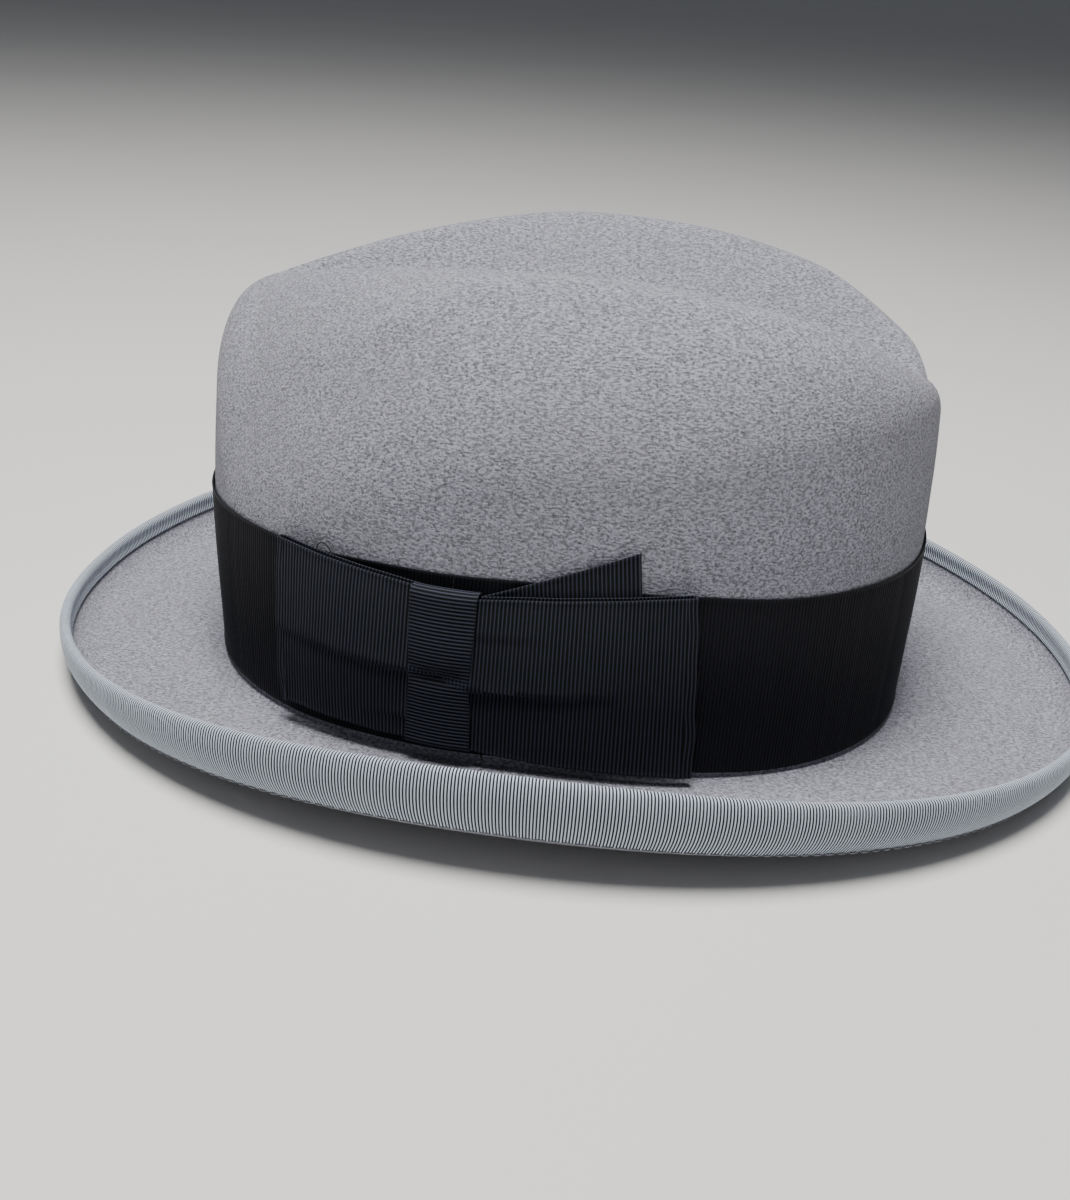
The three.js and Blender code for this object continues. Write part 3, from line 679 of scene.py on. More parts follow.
def along_path(radius, z, shares_at):
    """The path's points at distances from its end: shares_at(length) gives them for one column."""
    steps = np.hypot(np.diff(radius, axis=0), np.diff(z, axis=0))
    travelled = np.concatenate([np.zeros((1, radius.shape[1])), np.cumsum(steps, axis=0)])
    columns = []
    for i in range(radius.shape[1]):
        wanted = shares_at(travelled[-1, i], i)
        columns.append([np.interp(wanted, travelled[:, i], values[:, i]) for values in (radius, z)])
    made = np.array(columns)
    return made[:, 0].T, made[:, 1].T


print("profiles ready")

# %% [markdown]
# ## From a grid of points to a mesh
#
# Every piece of cloth here is a grid of points: rows across it and columns along it. One function turns
# such a grid into a closed mesh with UVs, and one moves a grid along its own normals to give it
# thickness. The second UV value and the named fields let the ribs be made later by Geometry Nodes.

# %% Grids, normals and lofts
def grid_normals(grid, wrap):
    """Normals of a grid of points. Rows run downwards or inwards, and columns run round by the angle."""
    along = np.gradient(grid, axis=0)
    if wrap:
        around = np.roll(grid, -1, axis=1) - np.roll(grid, 1, axis=1)
    else:
        around = np.gradient(grid, axis=1)
    normal = np.cross(around, along)
    length = np.linalg.norm(normal, axis=-1, keepdims=True)
    return np.where(length > 1e-9, normal / np.maximum(length, 1e-9), (0.0, 0.0, 1.0))


def loft(name, rings, material, wrap=False, closed=False, poles=(False, False), uv=None, fields=None):
    """A mesh from rings of points.

    closed joins the last row to the first, and a pole is a row in one point.
    """
    rows, columns = rings.shape[:2]
    index = np.arange(rows * columns).reshape(rows, columns)
    if poles[0]:
        index[0] = index[0, 0]
    if poles[1]:
        index[-1] = index[-1, 0]
    next_row = np.roll(index, -1, axis=0) if closed else index[1:]
    this_row = index if closed else index[:-1]
    right = np.roll(index, -1, axis=1) if wrap else index[:, 1:]
    right_next = np.roll(right, -1, axis=0) if closed else right[1:]
    if not closed:
        right = right[:-1]
    if not wrap:
        this_row, next_row = this_row[:, :-1], next_row[:, :-1]
    faces = np.stack([this_row, right, right_next, next_row], axis=-1).reshape(-1, 4)
    u, v = uv if uv is not None else (np.arange(columns + 1) / columns, np.arange(rows + 1) / rows)
    u = np.broadcast_to(np.atleast_2d(u), (rows + 1, np.atleast_2d(u).shape[1]))
    v = np.broadcast_to(np.reshape(v, (-1, 1)), (len(np.ravel(v)), u.shape[1]))
    shape = this_row.shape
    grid_uv = np.stack([u[: shape[0] + 1, : shape[1] + 1], v[: shape[0] + 1, : shape[1] + 1]], axis=-1)
    corner_uv = np.stack([grid_uv[:-1, :-1], grid_uv[:-1, 1:], grid_uv[1:, 1:], grid_uv[1:, :-1]], axis=2)
    corner_uv = corner_uv.reshape(-1, 4, 2)
    face_list, uv_list = [], []
    for corners, places in zip(faces.tolist(), corner_uv.tolist()):
        kept = [i for i in range(4) if corners[i] != corners[i - 1]]
        if len(kept) > 2:
            face_list.append([corners[i] for i in kept])
            uv_list.extend(places[i] for i in kept)
    if not wrap and closed:
        for column, order in ((0, 1), (columns - 1, -1)):
            face_list.append(index[::order, column].tolist())
            uv_list.extend([[float(u[0, min(column, u.shape[1] - 1)]), 0.5]] * rows)
    used = np.unique(index)
    renumber = np.zeros(rows * columns, int)
    renumber[used] = np.arange(len(used))
    points = rings.reshape(-1, 3)[used] * MM
    mesh = bpy.data.meshes.new(name)
    mesh.from_pydata(points.tolist(), [], [[int(renumber[i]) for i in face] for face in face_list])
    layer = mesh.uv_layers.new(name="UVMap")
    layer.data.foreach_set("uv", np.array(uv_list, np.float32).ravel())
    for field, values in (fields or {}).items():
        attribute = mesh.attributes.new(field, "FLOAT", "POINT")
        flat = np.broadcast_to(values, (rows, columns)).reshape(-1)[used]
        attribute.data.foreach_set("value", flat.astype(np.float32))
    face_outwards(mesh)
    mesh.shade_smooth()
    mesh.set_sharp_from_angle(angle=math.radians(60))
    mesh.materials.append(material)
    piece = bpy.data.objects.new(name, mesh)
    bpy.context.scene.collection.objects.link(piece)
    return piece


def face_outwards(mesh):
    """Turns a closed mesh's faces round if they enclose a negative volume."""
    mesh.calc_loop_triangles()
    points = np.array([vertex.co[:] for vertex in mesh.vertices])
    corners = np.array([triangle.vertices[:] for triangle in mesh.loop_triangles])
    a, b, c = (points[corners[:, i]] for i in range(3))
    if np.einsum("ij,ij->i", a, np.cross(b, c)).sum() < 0:
        mesh.flip_normals()


def triangle_count(piece):
    piece.data.calc_loop_triangles()
    return len(piece.data.loop_triangles)


pieces = []


def keep(piece, slot, *nodes):
    """Ties a finished piece to the frame: its body and the CAD nodes it stands for, which are hidden. slot
    is not used.
    """
    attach(piece, "root")
    if nodes:
        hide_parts(*nodes)
    pieces.append(piece)
    print(f"{piece.name}: {triangle_count(piece)} triangles for {', '.join(nodes)}")
    return piece


# %% [markdown]
# ## The felt body
#
# The real body is one piece of fur felt, blocked over a wooden form, with the gutter pressed into the
# top by hand. So it is one continuous surface from the middle of the top to the brim's edge and back
# along the inside. Soft uneven places, under half a millimetre deep, keep it from looking moulded.

# %% Make the felt body
FELT_COLUMNS = 288
FELT_ROWS = {"top": 46, "shoulder": 16, "wall": 30, "brim": 46}
HAND_UNEVENNESS = 0.35
SMOOTH_BELOW, UNEVEN_ABOVE = 66, 84  # heights
WAVE_COUNT = 9


def soft_waves(points, size, seed):
    """Smooth uneven values between -1 and 1, from a few crossing waves of about one size."""
    chance = np.random.default_rng(seed)
    total = np.zeros(points.shape[:-1])
    for _ in range(WAVE_COUNT):
        direction = chance.normal(size=3)
        direction /= np.linalg.norm(direction)
        wave = 2 * np.pi / (size * chance.uniform(0.7, 1.6))
        total += np.sin(points @ direction * wave + chance.uniform(0, 6.3))
    return total / WAVE_COUNT


def make_felt():
    phi = np.linspace(0, 2 * np.pi, FELT_COLUMNS, endpoint=False)
    crown = crown_profile(phi, FELT_ROWS["top"], FELT_ROWS["shoulder"], FELT_ROWS["wall"], wall_foot(phi))
    path = brim_path(phi)
    brim = along_path(*path, lambda length, _: np.linspace(0, length, FELT_ROWS["brim"] + 1)[1:])
    outer = to_points(phi, np.concatenate([crown[0], brim[0]]), np.concatenate([crown[1], brim[1]]))
    normal = grid_normals(outer, wrap=True)
    # The unevenness fades out under the band, so that the ribbon still lies on the felt.
    free = smooth_share(outer[..., 2:], SMOOTH_BELOW, UNEVEN_ABOVE)
    outer = outer + normal * free * HAND_UNEVENNESS * soft_waves(outer, 42, seed=4)[..., None]
    inner = outer - grid_normals(outer, wrap=True) * FELT_THICKNESS
    inner[..., 2] = np.maximum(inner[..., 2], 0)
    rings = np.concatenate([outer, inner[::-1]])
    return loft("felt", rings, felt_grey, wrap=True, poles=(True, True))


keep(make_felt(), "felt", "felt_body")

# %% [markdown]
# ## Grosgrain ribs with Geometry Nodes
#
# Grosgrain is woven with thick weft threads, which show as ribs straight across the ribbon, about one
# millimetre apart. Each ribbon below is first a smooth strip that counts its ribs in a field called
# rib_phase. One Geometry Nodes tree then presses the valleys between the ribs into every strip, by
# moving points along their normals. The field rib_mask keeps the selvedges and the back smooth.

# %% The rib tree
def build_rib_tree():
    tree, given, result = new_group(
        "press_ribs",
        "GeometryNodeTree",
        [
            ("Geometry", "NodeSocketGeometry"),
            ("Rib Depth", "NodeSocketFloat", 0.0002),
            ("Unevenness", "NodeSocketFloat", 0.4),
            ("Material", "NodeSocketMaterial"),
        ],
        [("Geometry", "NodeSocketGeometry")],
    )
    phase, mask = (
        add_node(tree, "GeometryNodeInputNamedAttribute", {"Name": name}, data_type="FLOAT").outputs[0]
        for name in ("rib_phase", "rib_mask")
    )
    # |sin| has a sharp valley at each whole number and a round top between.
    rounded = calculate(tree, "ABSOLUTE", sine(tree, phase, math.pi))
    below = minus(tree, rounded, 1.0)
    number = add_node(tree, "FunctionNodeFloatToInt", {0: phase}, rounding_mode="FLOOR")
    chance = add_node(
        tree, "FunctionNodeRandomValue", {"ID": number.outputs[0], "Seed": 7}, data_type="FLOAT"
    ).outputs[1]
    weaker = minus(tree, 1.0, times(tree, chance, given.outputs["Unevenness"]))
    deep = times(tree, times(tree, below, weaker), mask)
    distance = times(tree, deep, given.outputs["Rib Depth"])
    normal = add_node(tree, "GeometryNodeInputNormal").outputs[0]
    offset = add_node(tree, "ShaderNodeVectorMath", {0: normal, "Scale": distance}, operation="SCALE")
    shift = {"Geometry": given.outputs["Geometry"], "Offset": offset.outputs[0]}
    moved = add_node(tree, "GeometryNodeSetPosition", shift)
    real = add_node(tree, "GeometryNodeRealizeInstances", {"Geometry": moved.outputs[0]})
    paint = {"Geometry": real.outputs[0], "Material": given.outputs["Material"]}
    painted = add_node(tree, "GeometryNodeSetMaterial", paint)
    tree.links.new(painted.outputs[0], result.inputs["Geometry"])
    return tree


def run_tree(piece, tree, **values):
    """Runs a Geometry Nodes tree on a piece and keeps the result as its plain mesh."""
    modifier = piece.modifiers.new(tree.name, "NODES")
    modifier.node_group = tree
    wanted = {key.replace("_", " "): value for key, value in values.items()}
    for socket in tree.interface.items_tree:
        if socket.in_out == "INPUT" and socket.name in wanted:
            modifier[socket.identifier] = wanted[socket.name]
    piece.data.update()
    graph = bpy.context.evaluated_depsgraph_get()
    made = bpy.data.meshes.new_from_object(
        piece.evaluated_get(graph), preserve_all_data_layers=True, depsgraph=graph
    )
    piece.modifiers.clear()
    piece.data = made
    return piece


rib_tree = build_rib_tree()
print("tree", rib_tree.name, "with", len(rib_tree.nodes), "nodes")

# %% [markdown]
# ## Ribbons
#
# A ribbon is a grid for its face and a coarser one for its back. Its rib count comes from its real
# length: the columns are spaced evenly along the ribbon, with four to each rib, so every valley falls
# on a column. A ribbon's edges are woven selvedges, slightly raised and without ribs.

# %% A ribbon from its face
COLUMNS_PER_RIB = 4
RIB_DEPTH = 0.3
SELVEDGE = 0.9
BACK_ROWS = 4


def even_stations(start, end, radius_at, pitch, per_rib):
    """Angles evenly spaced along an arc with a whole number of ribs, and the rib count at each."""
    dense = np.linspace(start, end, 4001)
    path = to_points(dense, radius_at(dense), np.zeros_like(dense))
    travelled = np.concatenate([[0], np.cumsum(np.linalg.norm(np.diff(path, axis=0), axis=1))])
    ribs = max(round(travelled[-1] / pitch), 2)
    phase = np.linspace(0, ribs, ribs * per_rib + 1)
    return np.interp(phase / ribs * travelled[-1], travelled, dense), phase


RIB_UNEVENNESS = 0.4
BEAD_HEIGHT, BEAD_PLACE, BEAD_WIDTH = 0.12, 0.45, 0.3  # the raised thread along a selvedge


def ribbon(name, face, distance, phase, material, depth, wrap=False):
    """A closed strip with ribs on its face: rows at distances across the ribbon, and columns along it."""
    rows = face.shape[0]
    normal = grid_normals(face, wrap)
    from_edge = np.minimum(distance, distance[-1] - distance)
    bead = BEAD_HEIGHT * np.exp(-(((from_edge - BEAD_PLACE) / BEAD_WIDTH) ** 2))
    lifted = face + normal * bead[:, None, None]
    chosen = np.linspace(rows - 1, 0, BACK_ROWS).round().astype(int)
    back = (face - normal * RIBBON_THICKNESS)[chosen]
    rings = np.concatenate([lifted, back])
    ribbed = smooth_share(from_edge, 0.5 * SELVEDGE, 1.4 * SELVEDGE)
    mask = np.concatenate([ribbed, np.zeros(BACK_ROWS)])
    v = np.concatenate([distance, distance[chosen], [0]])
    ends = np.append(phase, phase[-1] + phase[1] - phase[0]) if wrap else phase
    piece = loft(
        name,
        rings,
        material,
        wrap=wrap,
        closed=True,
        uv=(ends, v),
        fields={"rib_phase": phase[None, :], "rib_mask": mask[:, None]},
    )
    return run_tree(piece, rib_tree, Rib_Depth=depth * MM, Unevenness=RIB_UNEVENNESS, Material=material)


def edge_rows(width, rows):
    """Distances across a ribbon, closer together at its two edges."""
    inner = np.linspace(1.5 * SELVEDGE, width - 1.5 * SELVEDGE, rows - 6)
    edge = np.array([0, 0.5, 1.0]) * SELVEDGE
    return np.concatenate([edge, inner, width - edge[::-1]])


print("ribbons ready")

# %% [markdown]
# ## The hatband
#
# The band is one length of ribbon drawn tight round the crown, with its two ends butted under the bow.
# It isn't perfectly even: where the bow's layers lie over it and where it was drawn round, it stands a
# little proud, which bends the ribs' highlights.

# %% Make the hatband
BOW_MIDDLE = math.radians(104.4)
BAND_PITCH = 1.0
BAND_OUT = 0.15 + RIBBON_THICKNESS
BAND_MIDDLE = 35  # a height near the middle of the band
BAND_JOINT = math.radians(0.03)


def make_hatband():
    radius_at = lambda phi: wall_radius(phi, BAND_MIDDLE) + BAND_OUT
    ends = BOW_MIDDLE + BAND_JOINT, BOW_MIDDLE + 2 * math.pi - BAND_JOINT
    phi, phase = even_stations(*ends, radius_at, BAND_PITCH, COLUMNS_PER_RIB)
    distance = edge_rows(BAND_WIDTH, 18)
    drift = 0.25 * np.sin(5 * phi + 1) + 0.15 * np.sin(13 * phi)
    z = band_top(phi) + drift - distance[:, None]
    place = to_points(phi, wall_radius(phi, z), z)
    out = BAND_OUT + 0.12 * (1 + soft_waves(place, 26, seed=11))
    face = beside_wall(phi, z, out)
    return ribbon("hat_band", face, distance, phase, ribbon_navy, depth=RIB_DEPTH)


hat_band = make_hatband()
keep(hat_band, "band_ribbon", "hatband")

# %% [markdown]
# ## The flat bow
#
# The bow is made of four ribbons: a hidden backing strip, a loop at each side that is folded back on
# itself, a slanted tail behind the rear loop, and a short wrap across the middle. The wrap pulls the
# loops in, so each has a long pleat that starts at the wrap and dies away. The pleats are shaped here
# as a lip and a shadowed groove that follow a line across the loop's front layer.

# %% Strips of the bow that lie along the wall
LAYER_STEP = RIBBON_THICKNESS + 0.3


def layer_out(number):
    """How far the face of ribbon layer number n stands out from the felt. Layer 0 is the band."""
    return 0.3 + number * LAYER_STEP + RIBBON_THICKNESS


def sloped_strip(name, angles, low, high, layer, slope_end=0.0):
    """A strip between two angles, with its lower and upper edge given at both ends."""
    start, end = (math.radians(angle) for angle in angles)
    radius_at = lambda phi: wall_radius(phi, BAND_MIDDLE) + layer_out(layer)
    phi, phase = even_stations(start, end, radius_at, BAND_PITCH, COLUMNS_PER_RIB)
    share = (phi - start) / (end - start)
    low_z, high_z = low[0] + (low[1] - low[0]) * share, high[0] + (high[1] - high[0]) * share
    width = float(np.mean(high_z - low_z))
    distance = edge_rows(width, 16)
    z = high_z - distance[:, None] / width * (high_z - low_z)
    # The ribs stay square to the strip's own slant, so the upper edge runs on past the lower one.
    leaning = phi + slope_end * (0.5 - distance[:, None] / width)
    face = beside_wall(leaning, z, layer_out(layer))
    return ribbon(name, face, distance, phase, bow_navy_painted_lighter, depth=RIB_DEPTH)


backing = sloped_strip("bow_backing_strip", (78, 125), (22, 22), (46, 46), 1)
keep(backing, "band_ribbon", "bow_backing")
tail = sloped_strip("bow_tail_strip", (72.0, 97.9), (22, 13), (70, 54.6), 2, slope_end=0.05)
keep(tail, "band_ribbon", "bow_tail")


# %% The two loops
def pleat(z, line_z, share, depth, soft):
    """A lip that stands out above a line and a groove under it, fading along the loop by share."""
    above = z - line_z
    lip = np.where(above >= 0, np.exp(-above / soft), 0)
    groove = np.where(above < 0, -0.85 * np.exp(above / (0.45 * soft)), 0)
    blur = 1 / (1 + np.exp(-above / 0.22))
    return depth * share * (lip * blur + groove * (1 - blur))


def make_loop(name, from_angle, fold_angle, at_knot, at_fold, pleats, corner=0.0, lean=0.0):
    """One half of the bow. at_knot and at_fold are its lower and upper edge at its two ends.

    corner is how far its lower corner is worn back, and lean how far its fold slants, in degrees.
    """
    start, fold = math.radians(from_angle), math.radians(fold_angle)
    back, front = layer_out(3) - RIBBON_THICKNESS, layer_out(5)
    radius = (front - back) / 2
    sign = 1 if fold > start else -1
    radius_at = lambda phi: wall_radius(phi, BAND_MIDDLE) + front
    ends = min(start, fold), max(start, fold)
    run = even_stations(*ends, radius_at, BAND_PITCH, COLUMNS_PER_RIB)[0][::sign]
    flat = np.ones_like(run)
    turn = np.linspace(0, np.pi, COLUMNS_PER_RIB * 3 + 1)[1:-1]
    past = fold + sign * radius * np.sin(turn) / CROWN_HALF_WIDTH
    phi = np.concatenate([run, past, run[::-1]])
    middle_out = (back + front) / 2 + radius * np.concatenate([flat, np.cos(turn), -flat])
    phase = np.arange(len(phi)) / COLUMNS_PER_RIB
    on_front = np.concatenate([flat, (1 + np.cos(turn)) / 2, 0 * flat])
    share = np.clip((phi - start) / (fold - start), 0, 1)
    ease = share**0.8
    low = at_knot[0] + (at_fold[0] - at_knot[0]) * ease
    high = at_knot[1] + (at_fold[1] - at_knot[1]) * ease
    width = float(np.mean(at_fold[1] - at_fold[0]))
    distance = edge_rows(width, 46)
    level = 1 - distance[:, None] / width
    z = low + (high - low) * level
    # The wrap presses the loop flat beside it, and the loop swells out before it reaches its fold.
    swell = 0.9 * np.sin(np.pi * np.clip(share * 1.1, 0, 1)) * np.sin(np.pi * level) ** 0.7
    pinch = -0.5 * np.exp(-share / 0.06)
    out = middle_out + on_front * (swell + pinch)
    for line_start, line_end, reach, depth, soft in pleats:
        line_z = line_start + (line_end - line_start) * share
        fade = np.clip(1 - share / reach, 0, 1) ** 0.7
        out = out + on_front * pleat(z, line_z, fade, depth, soft)
    # A worn fold wanders a little, more so at its lower corner.
    wander = 0.006 * soft_waves(np.stack([z, z, z], axis=-1), 21, seed=3)
    cut = corner * np.clip(1 - level / 0.25, 0, 1) ** 2
    leaning = phi + np.where(share >= 0.97, sign * (wander - cut / CROWN_HALF_WIDTH), 0)
    leaning = leaning + math.radians(lean) * (level - 0.5) * share**3
    place = beside_wall(leaning, z, out)
    place[..., 2] += 0.25 * soft_waves(place, 15, seed=8)
    if sign < 0:
        place = place[:, ::-1]
    return ribbon(name, place, distance, phase, bow_navy_painted_lighter, depth=RIB_DEPTH)


# Each pleat's height at the wrap and at the fold, how far along it reaches, its depth and its softness.
FRONT_PLEATS = [(32.6, 33.9, 1.15, 1.15, 5.0), (19.5, 16.5, 0.5, 0.45, 4.0)]
REAR_PLEATS = [(29.6, 32.8, 0.72, 1.5, 6.0), (44.5, 47.5, 0.45, 0.35, 4.0)]
front_loop = make_loop(
    "bow_loop_front", 104.7, 133.6, (13.2, 55.2), (12.6, 59.2), FRONT_PLEATS, corner=1.2
)
rear_loop = make_loop("bow_loop_rear", 104.1, 64.0, (13.2, 53.8), (9.4, 60.0), REAR_PLEATS, lean=2.0)
keep(front_loop, "band_ribbon", "bow_front_loop")
keep(rear_loop, "band_ribbon", "bow_rear_loop")


# %% The wrap across the middle
WRAP_LOW, WRAP_HIGH, WRAP_ANGLES = 12.0, 56.4, (110.0, 98.9)
WAIST = {"height": 32.5, "reach": 15, "share": 0.09}  # where the wrap is drawn in
DIP = {"height": 32.2, "slant": 1.2, "reach": 2.0, "depth": 1.2}  # the dent across it
LUMP = {"height": 40, "reach": 6, "depth": 0.35}


def bump_at(z, height, reach):
    """A round bump that is 1 at a height and fades within its reach."""
    return np.exp(-(((z - height) / reach) ** 2))


def make_wrap():
    low, high = WRAP_LOW, WRAP_HIGH
    back, front = layer_out(2) - RIBBON_THICKNESS, layer_out(6)
    radius = (front - back) / 2
    middle = (front + back) / 2
    straight = high - low - 2 * radius
    length = 2 * straight + 2 * math.pi * radius
    ribs = round(length / BAND_PITCH)
    phase = np.arange(ribs * COLUMNS_PER_RIB) / COLUMNS_PER_RIB
    at = phase / ribs * length
    turn_top = (at - 2 * straight - math.pi * radius) / radius
    turn_low = (at - straight) / radius
    on_front, on_low = at < straight, (at >= straight) & (at < straight + math.pi * radius)
    on_back = (at >= straight + math.pi * radius) & (at < 2 * straight + math.pi * radius)
    z = np.select(
        [on_front, on_low, on_back],
        [
            high - radius - at,
            low + radius - radius * np.sin(turn_low),
            low + radius + at - straight - math.pi * radius,
        ],
        high - radius + radius * np.sin(turn_top),
    )
    out = np.select(
        [on_front, on_low, on_back],
        [front, middle + radius * np.cos(turn_low), back],
        middle - radius * np.cos(turn_top),
    )
    angles = np.radians(WRAP_ANGLES)
    width = float(angles[0] - angles[1]) * (CROWN_HALF_WIDTH + front)
    distance = edge_rows(width, 20)
    across = distance[:, None] / width
    front_share = np.clip((out - back) / (front - back), 0, 1)
    waist = WAIST["share"] * bump_at(z, WAIST["height"], WAIST["reach"])
    phi = angles[0] + (angles[1] - angles[0]) * (across + waist * (0.5 - across))
    crown = 0.7 * np.sin(np.pi * across) ** 0.6
    dip = DIP["depth"] * bump_at(z - DIP["slant"] * across, DIP["height"], DIP["reach"])
    dip = dip * np.sin(np.pi * np.clip(across * 1.1, 0, 1))
    lump = LUMP["depth"] * bump_at(z, LUMP["height"], LUMP["reach"])
    place = beside_wall(phi, z + 0 * phi, out + front_share * (crown - dip + lump))
    return ribbon("bow_wrap", place, distance, phase, bow_navy_painted_lighter, depth=RIB_DEPTH, wrap=True)


keep(make_wrap(), "band_ribbon", "bow_knot")

# %% [markdown]
# ## The brim's binding
#
# A lighter grosgrain ribbon is folded over the brim's edge, so about a thousand ribs run across it. Its
# outer leg is the pale striped rim seen all round the hat. The face is laid out by the real length of
# the brim's edge: down the outside, round the edge of the felt, and a little way down the inside.

# %% Make the binding
BINDING_PITCH = 0.8
BINDING_PER_RIB = 3
BINDING_RIB_DEPTH = 0.32
BINDING_CLEAR = 0.12
BINDING_OUTER_ROWS, BINDING_CREST_ROWS, BINDING_INNER_ROWS = 13, 5, 6


def brim_stations():
    phi, phase = even_stations(0, 2 * math.pi, brim_radius, BINDING_PITCH, BINDING_PER_RIB)
    return phi[:-1], phase[:-1]


def binding_face(phi):
    """Rows from the binding's outer lower edge over the brim's edge to its inner edge."""
    path = brim_path(phi)

    def leg(widths, rows):
        last = lambda length, i: length - widths[i] * np.linspace(1, 0, rows + 1)
        return to_points(phi, *along_path(*path, last))

    outer = leg(between(phi, BINDING_OUTER), BINDING_OUTER_ROWS)
    inner = leg(np.full_like(phi, BINDING_INNER), BINDING_INNER_ROWS)
    reach = BINDING_CLEAR + RIBBON_THICKNESS
    outer_normal, inner_normal = grid_normals(outer, True), grid_normals(inner, True)
    outer_leg = outer - outer_normal * (FELT_THICKNESS + reach)
    inner_leg = inner + inner_normal * reach
    end, normal = outer[-1], outer_normal[-1]
    tangent = outer[-1] - outer[-2]
    tangent /= np.linalg.norm(tangent, axis=-1, keepdims=True)
    centre = end - normal * FELT_THICKNESS / 2
    round_radius = FELT_THICKNESS / 2 + reach
    crest = [
        centre + round_radius * (math.sin(turn) * normal + math.cos(turn) * tangent)
        for turn in np.linspace(-np.pi / 2, np.pi / 2, BINDING_CREST_ROWS + 2)[1:-1]
    ]
    return np.concatenate([outer_leg, crest, inner_leg[::-1]])


def make_binding():
    phi, phase = brim_stations()
    face = binding_face(phi)[::-1]
    steps = np.linalg.norm(np.diff(face[:, 0], axis=0), axis=-1)
    distance = np.concatenate([[0], np.cumsum(steps)])
    # Hand sewing leaves the ribs a little slanted here and there.
    slant = 0.5 * np.sin(9 * phi) + 0.35 * np.sin(23 * phi + 2)
    shifted = phase + slant * np.linspace(-0.5, 0.5, len(distance))[:, None]
    turned = phi + slant * np.linspace(0.5, -0.5, len(distance))[:, None] * BINDING_PITCH / BRIM_HALF_LENGTH
    leaning = to_points(turned, np.hypot(face[..., 0], face[..., 1] - CENTRE_Y), face[..., 2])
    return ribbon(
        "brim_binding_ribbon", leaning, distance, phase, ribbon_grey, depth=BINDING_RIB_DEPTH, wrap=True
    )


keep(make_binding(), "binding", "brim_binding")

# %% [markdown]
# ## Stitches with Geometry Nodes
#
# Sewing thread shows as a row of short raised dashes. One tree places a small spindle at even distances
# along a line, turned to follow it, and it serves the binding and the sweatband alike. The lines are
# plain runs of points that are replaced by the tree's result.

# %% The stitch tree
def build_stitch_tree():
    tree, given, result = new_group(
        "sew_stitches",
        "GeometryNodeTree",
        [
            ("Geometry", "NodeSocketGeometry"),
            ("Stitch Count", "NodeSocketInt", 200),
            ("Stitch Length", "NodeSocketFloat", 0.0024),
            ("Thread Diameter", "NodeSocketFloat", 0.0004),
            ("Material", "NodeSocketMaterial"),
        ],
        [("Geometry", "NodeSocketGeometry")],
    )
    line = add_node(tree, "GeometryNodeMeshToCurve", {"Mesh": given.outputs["Geometry"]})
    along = {"Curve": line.outputs[0], "Count": given.outputs["Stitch Count"]}
    spots = add_node(tree, "GeometryNodeCurveToPoints", along, mode="COUNT")
    spindle = add_node(tree, "GeometryNodeMeshUVSphere", {"Segments": 6, "Rings": 5, "Radius": 0.5})
    turned = add_node(
        tree, "FunctionNodeAlignRotationToVector", {"Vector": spots.outputs["Tangent"]}, axis="X"
    )
    length_change = add_node(
        tree, "FunctionNodeRandomValue", {2: 0.85, 3: 1.12, "Seed": 3}, data_type="FLOAT"
    ).outputs[1]
    length = times(tree, given.outputs["Stitch Length"], length_change)
    size = add_node(
        tree,
        "ShaderNodeCombineXYZ",
        {0: length, 1: given.outputs["Thread Diameter"], 2: given.outputs["Thread Diameter"]},
    )
    placed = add_node(
        tree,
        "GeometryNodeInstanceOnPoints",
        {
            "Points": spots.outputs["Points"],
            "Instance": spindle.outputs["Mesh"],
            "Rotation": turned.outputs[0],
            "Scale": size.outputs[0],
        },
    )
    real = add_node(tree, "GeometryNodeRealizeInstances", {"Geometry": placed.outputs[0]})
    paint = {"Geometry": real.outputs[0], "Material": given.outputs["Material"]}
    painted = add_node(tree, "GeometryNodeSetMaterial", paint)
    tree.links.new(painted.outputs[0], result.inputs["Geometry"])
    return tree


stitch_tree = build_stitch_tree()


def sew(name, points, pitch, length, diameter, material, closed=True):
    """Stitches along a run of points in millimetres."""
    mesh = bpy.data.meshes.new(name)
    edges = [(i, i + 1) for i in range(len(points) - 1)] + ([(len(points) - 1, 0)] if closed else [])
    mesh.from_pydata((np.array(points) * MM).tolist(), edges, [])
    piece = bpy.data.objects.new(name, mesh)
    bpy.context.scene.collection.objects.link(piece)
    run = np.linalg.norm(np.diff(points, axis=0), axis=1).sum()
    run_tree(
        piece,
        stitch_tree,
        Stitch_Count=int(run / pitch),
        Stitch_Length=length * MM,
        Thread_Diameter=diameter * MM,
        Material=material,
    )
    piece.data.shade_smooth()
    return piece


# %% Stitch the binding down
BINDING_STITCH = {"pitch": 3.2, "length": 2.7, "diameter": 0.5}
SEAM_SHARE = 0.28  # the seam's place between the binding's first two rows
STITCH_PROUD = 0.12


def make_binding_stitches():
    phi = np.linspace(0, 2 * np.pi, 720, endpoint=False)
    face = binding_face(phi)
    line = face[0] * (1 - SEAM_SHARE) + face[1] * SEAM_SHARE
    outwards = -grid_normals(face[:3], True)[0]
    return sew("binding_stitches", line + outwards * STITCH_PROUD, material=thread_grey, **BINDING_STITCH)


keep(make_binding_stitches(), "thread_grey", "binding_thread")


# %% Tack the band
TACK = {"pitch": 0.9, "length": 1.3, "diameter": THREAD_DIAMETER}
TACK_HALF_ANGLE, TACK_ABOVE_EDGE = 0.9, 3.2


def make_tack(name, degrees):
    phi = np.radians(np.linspace(degrees - TACK_HALF_ANGLE, degrees + TACK_HALF_ANGLE, 9))
    points = beside_wall(phi, band_bottom(phi) + TACK_ABOVE_EDGE, BAND_OUT + 0.35)
    return sew(name, points, material=thread_navy, closed=False, **TACK)


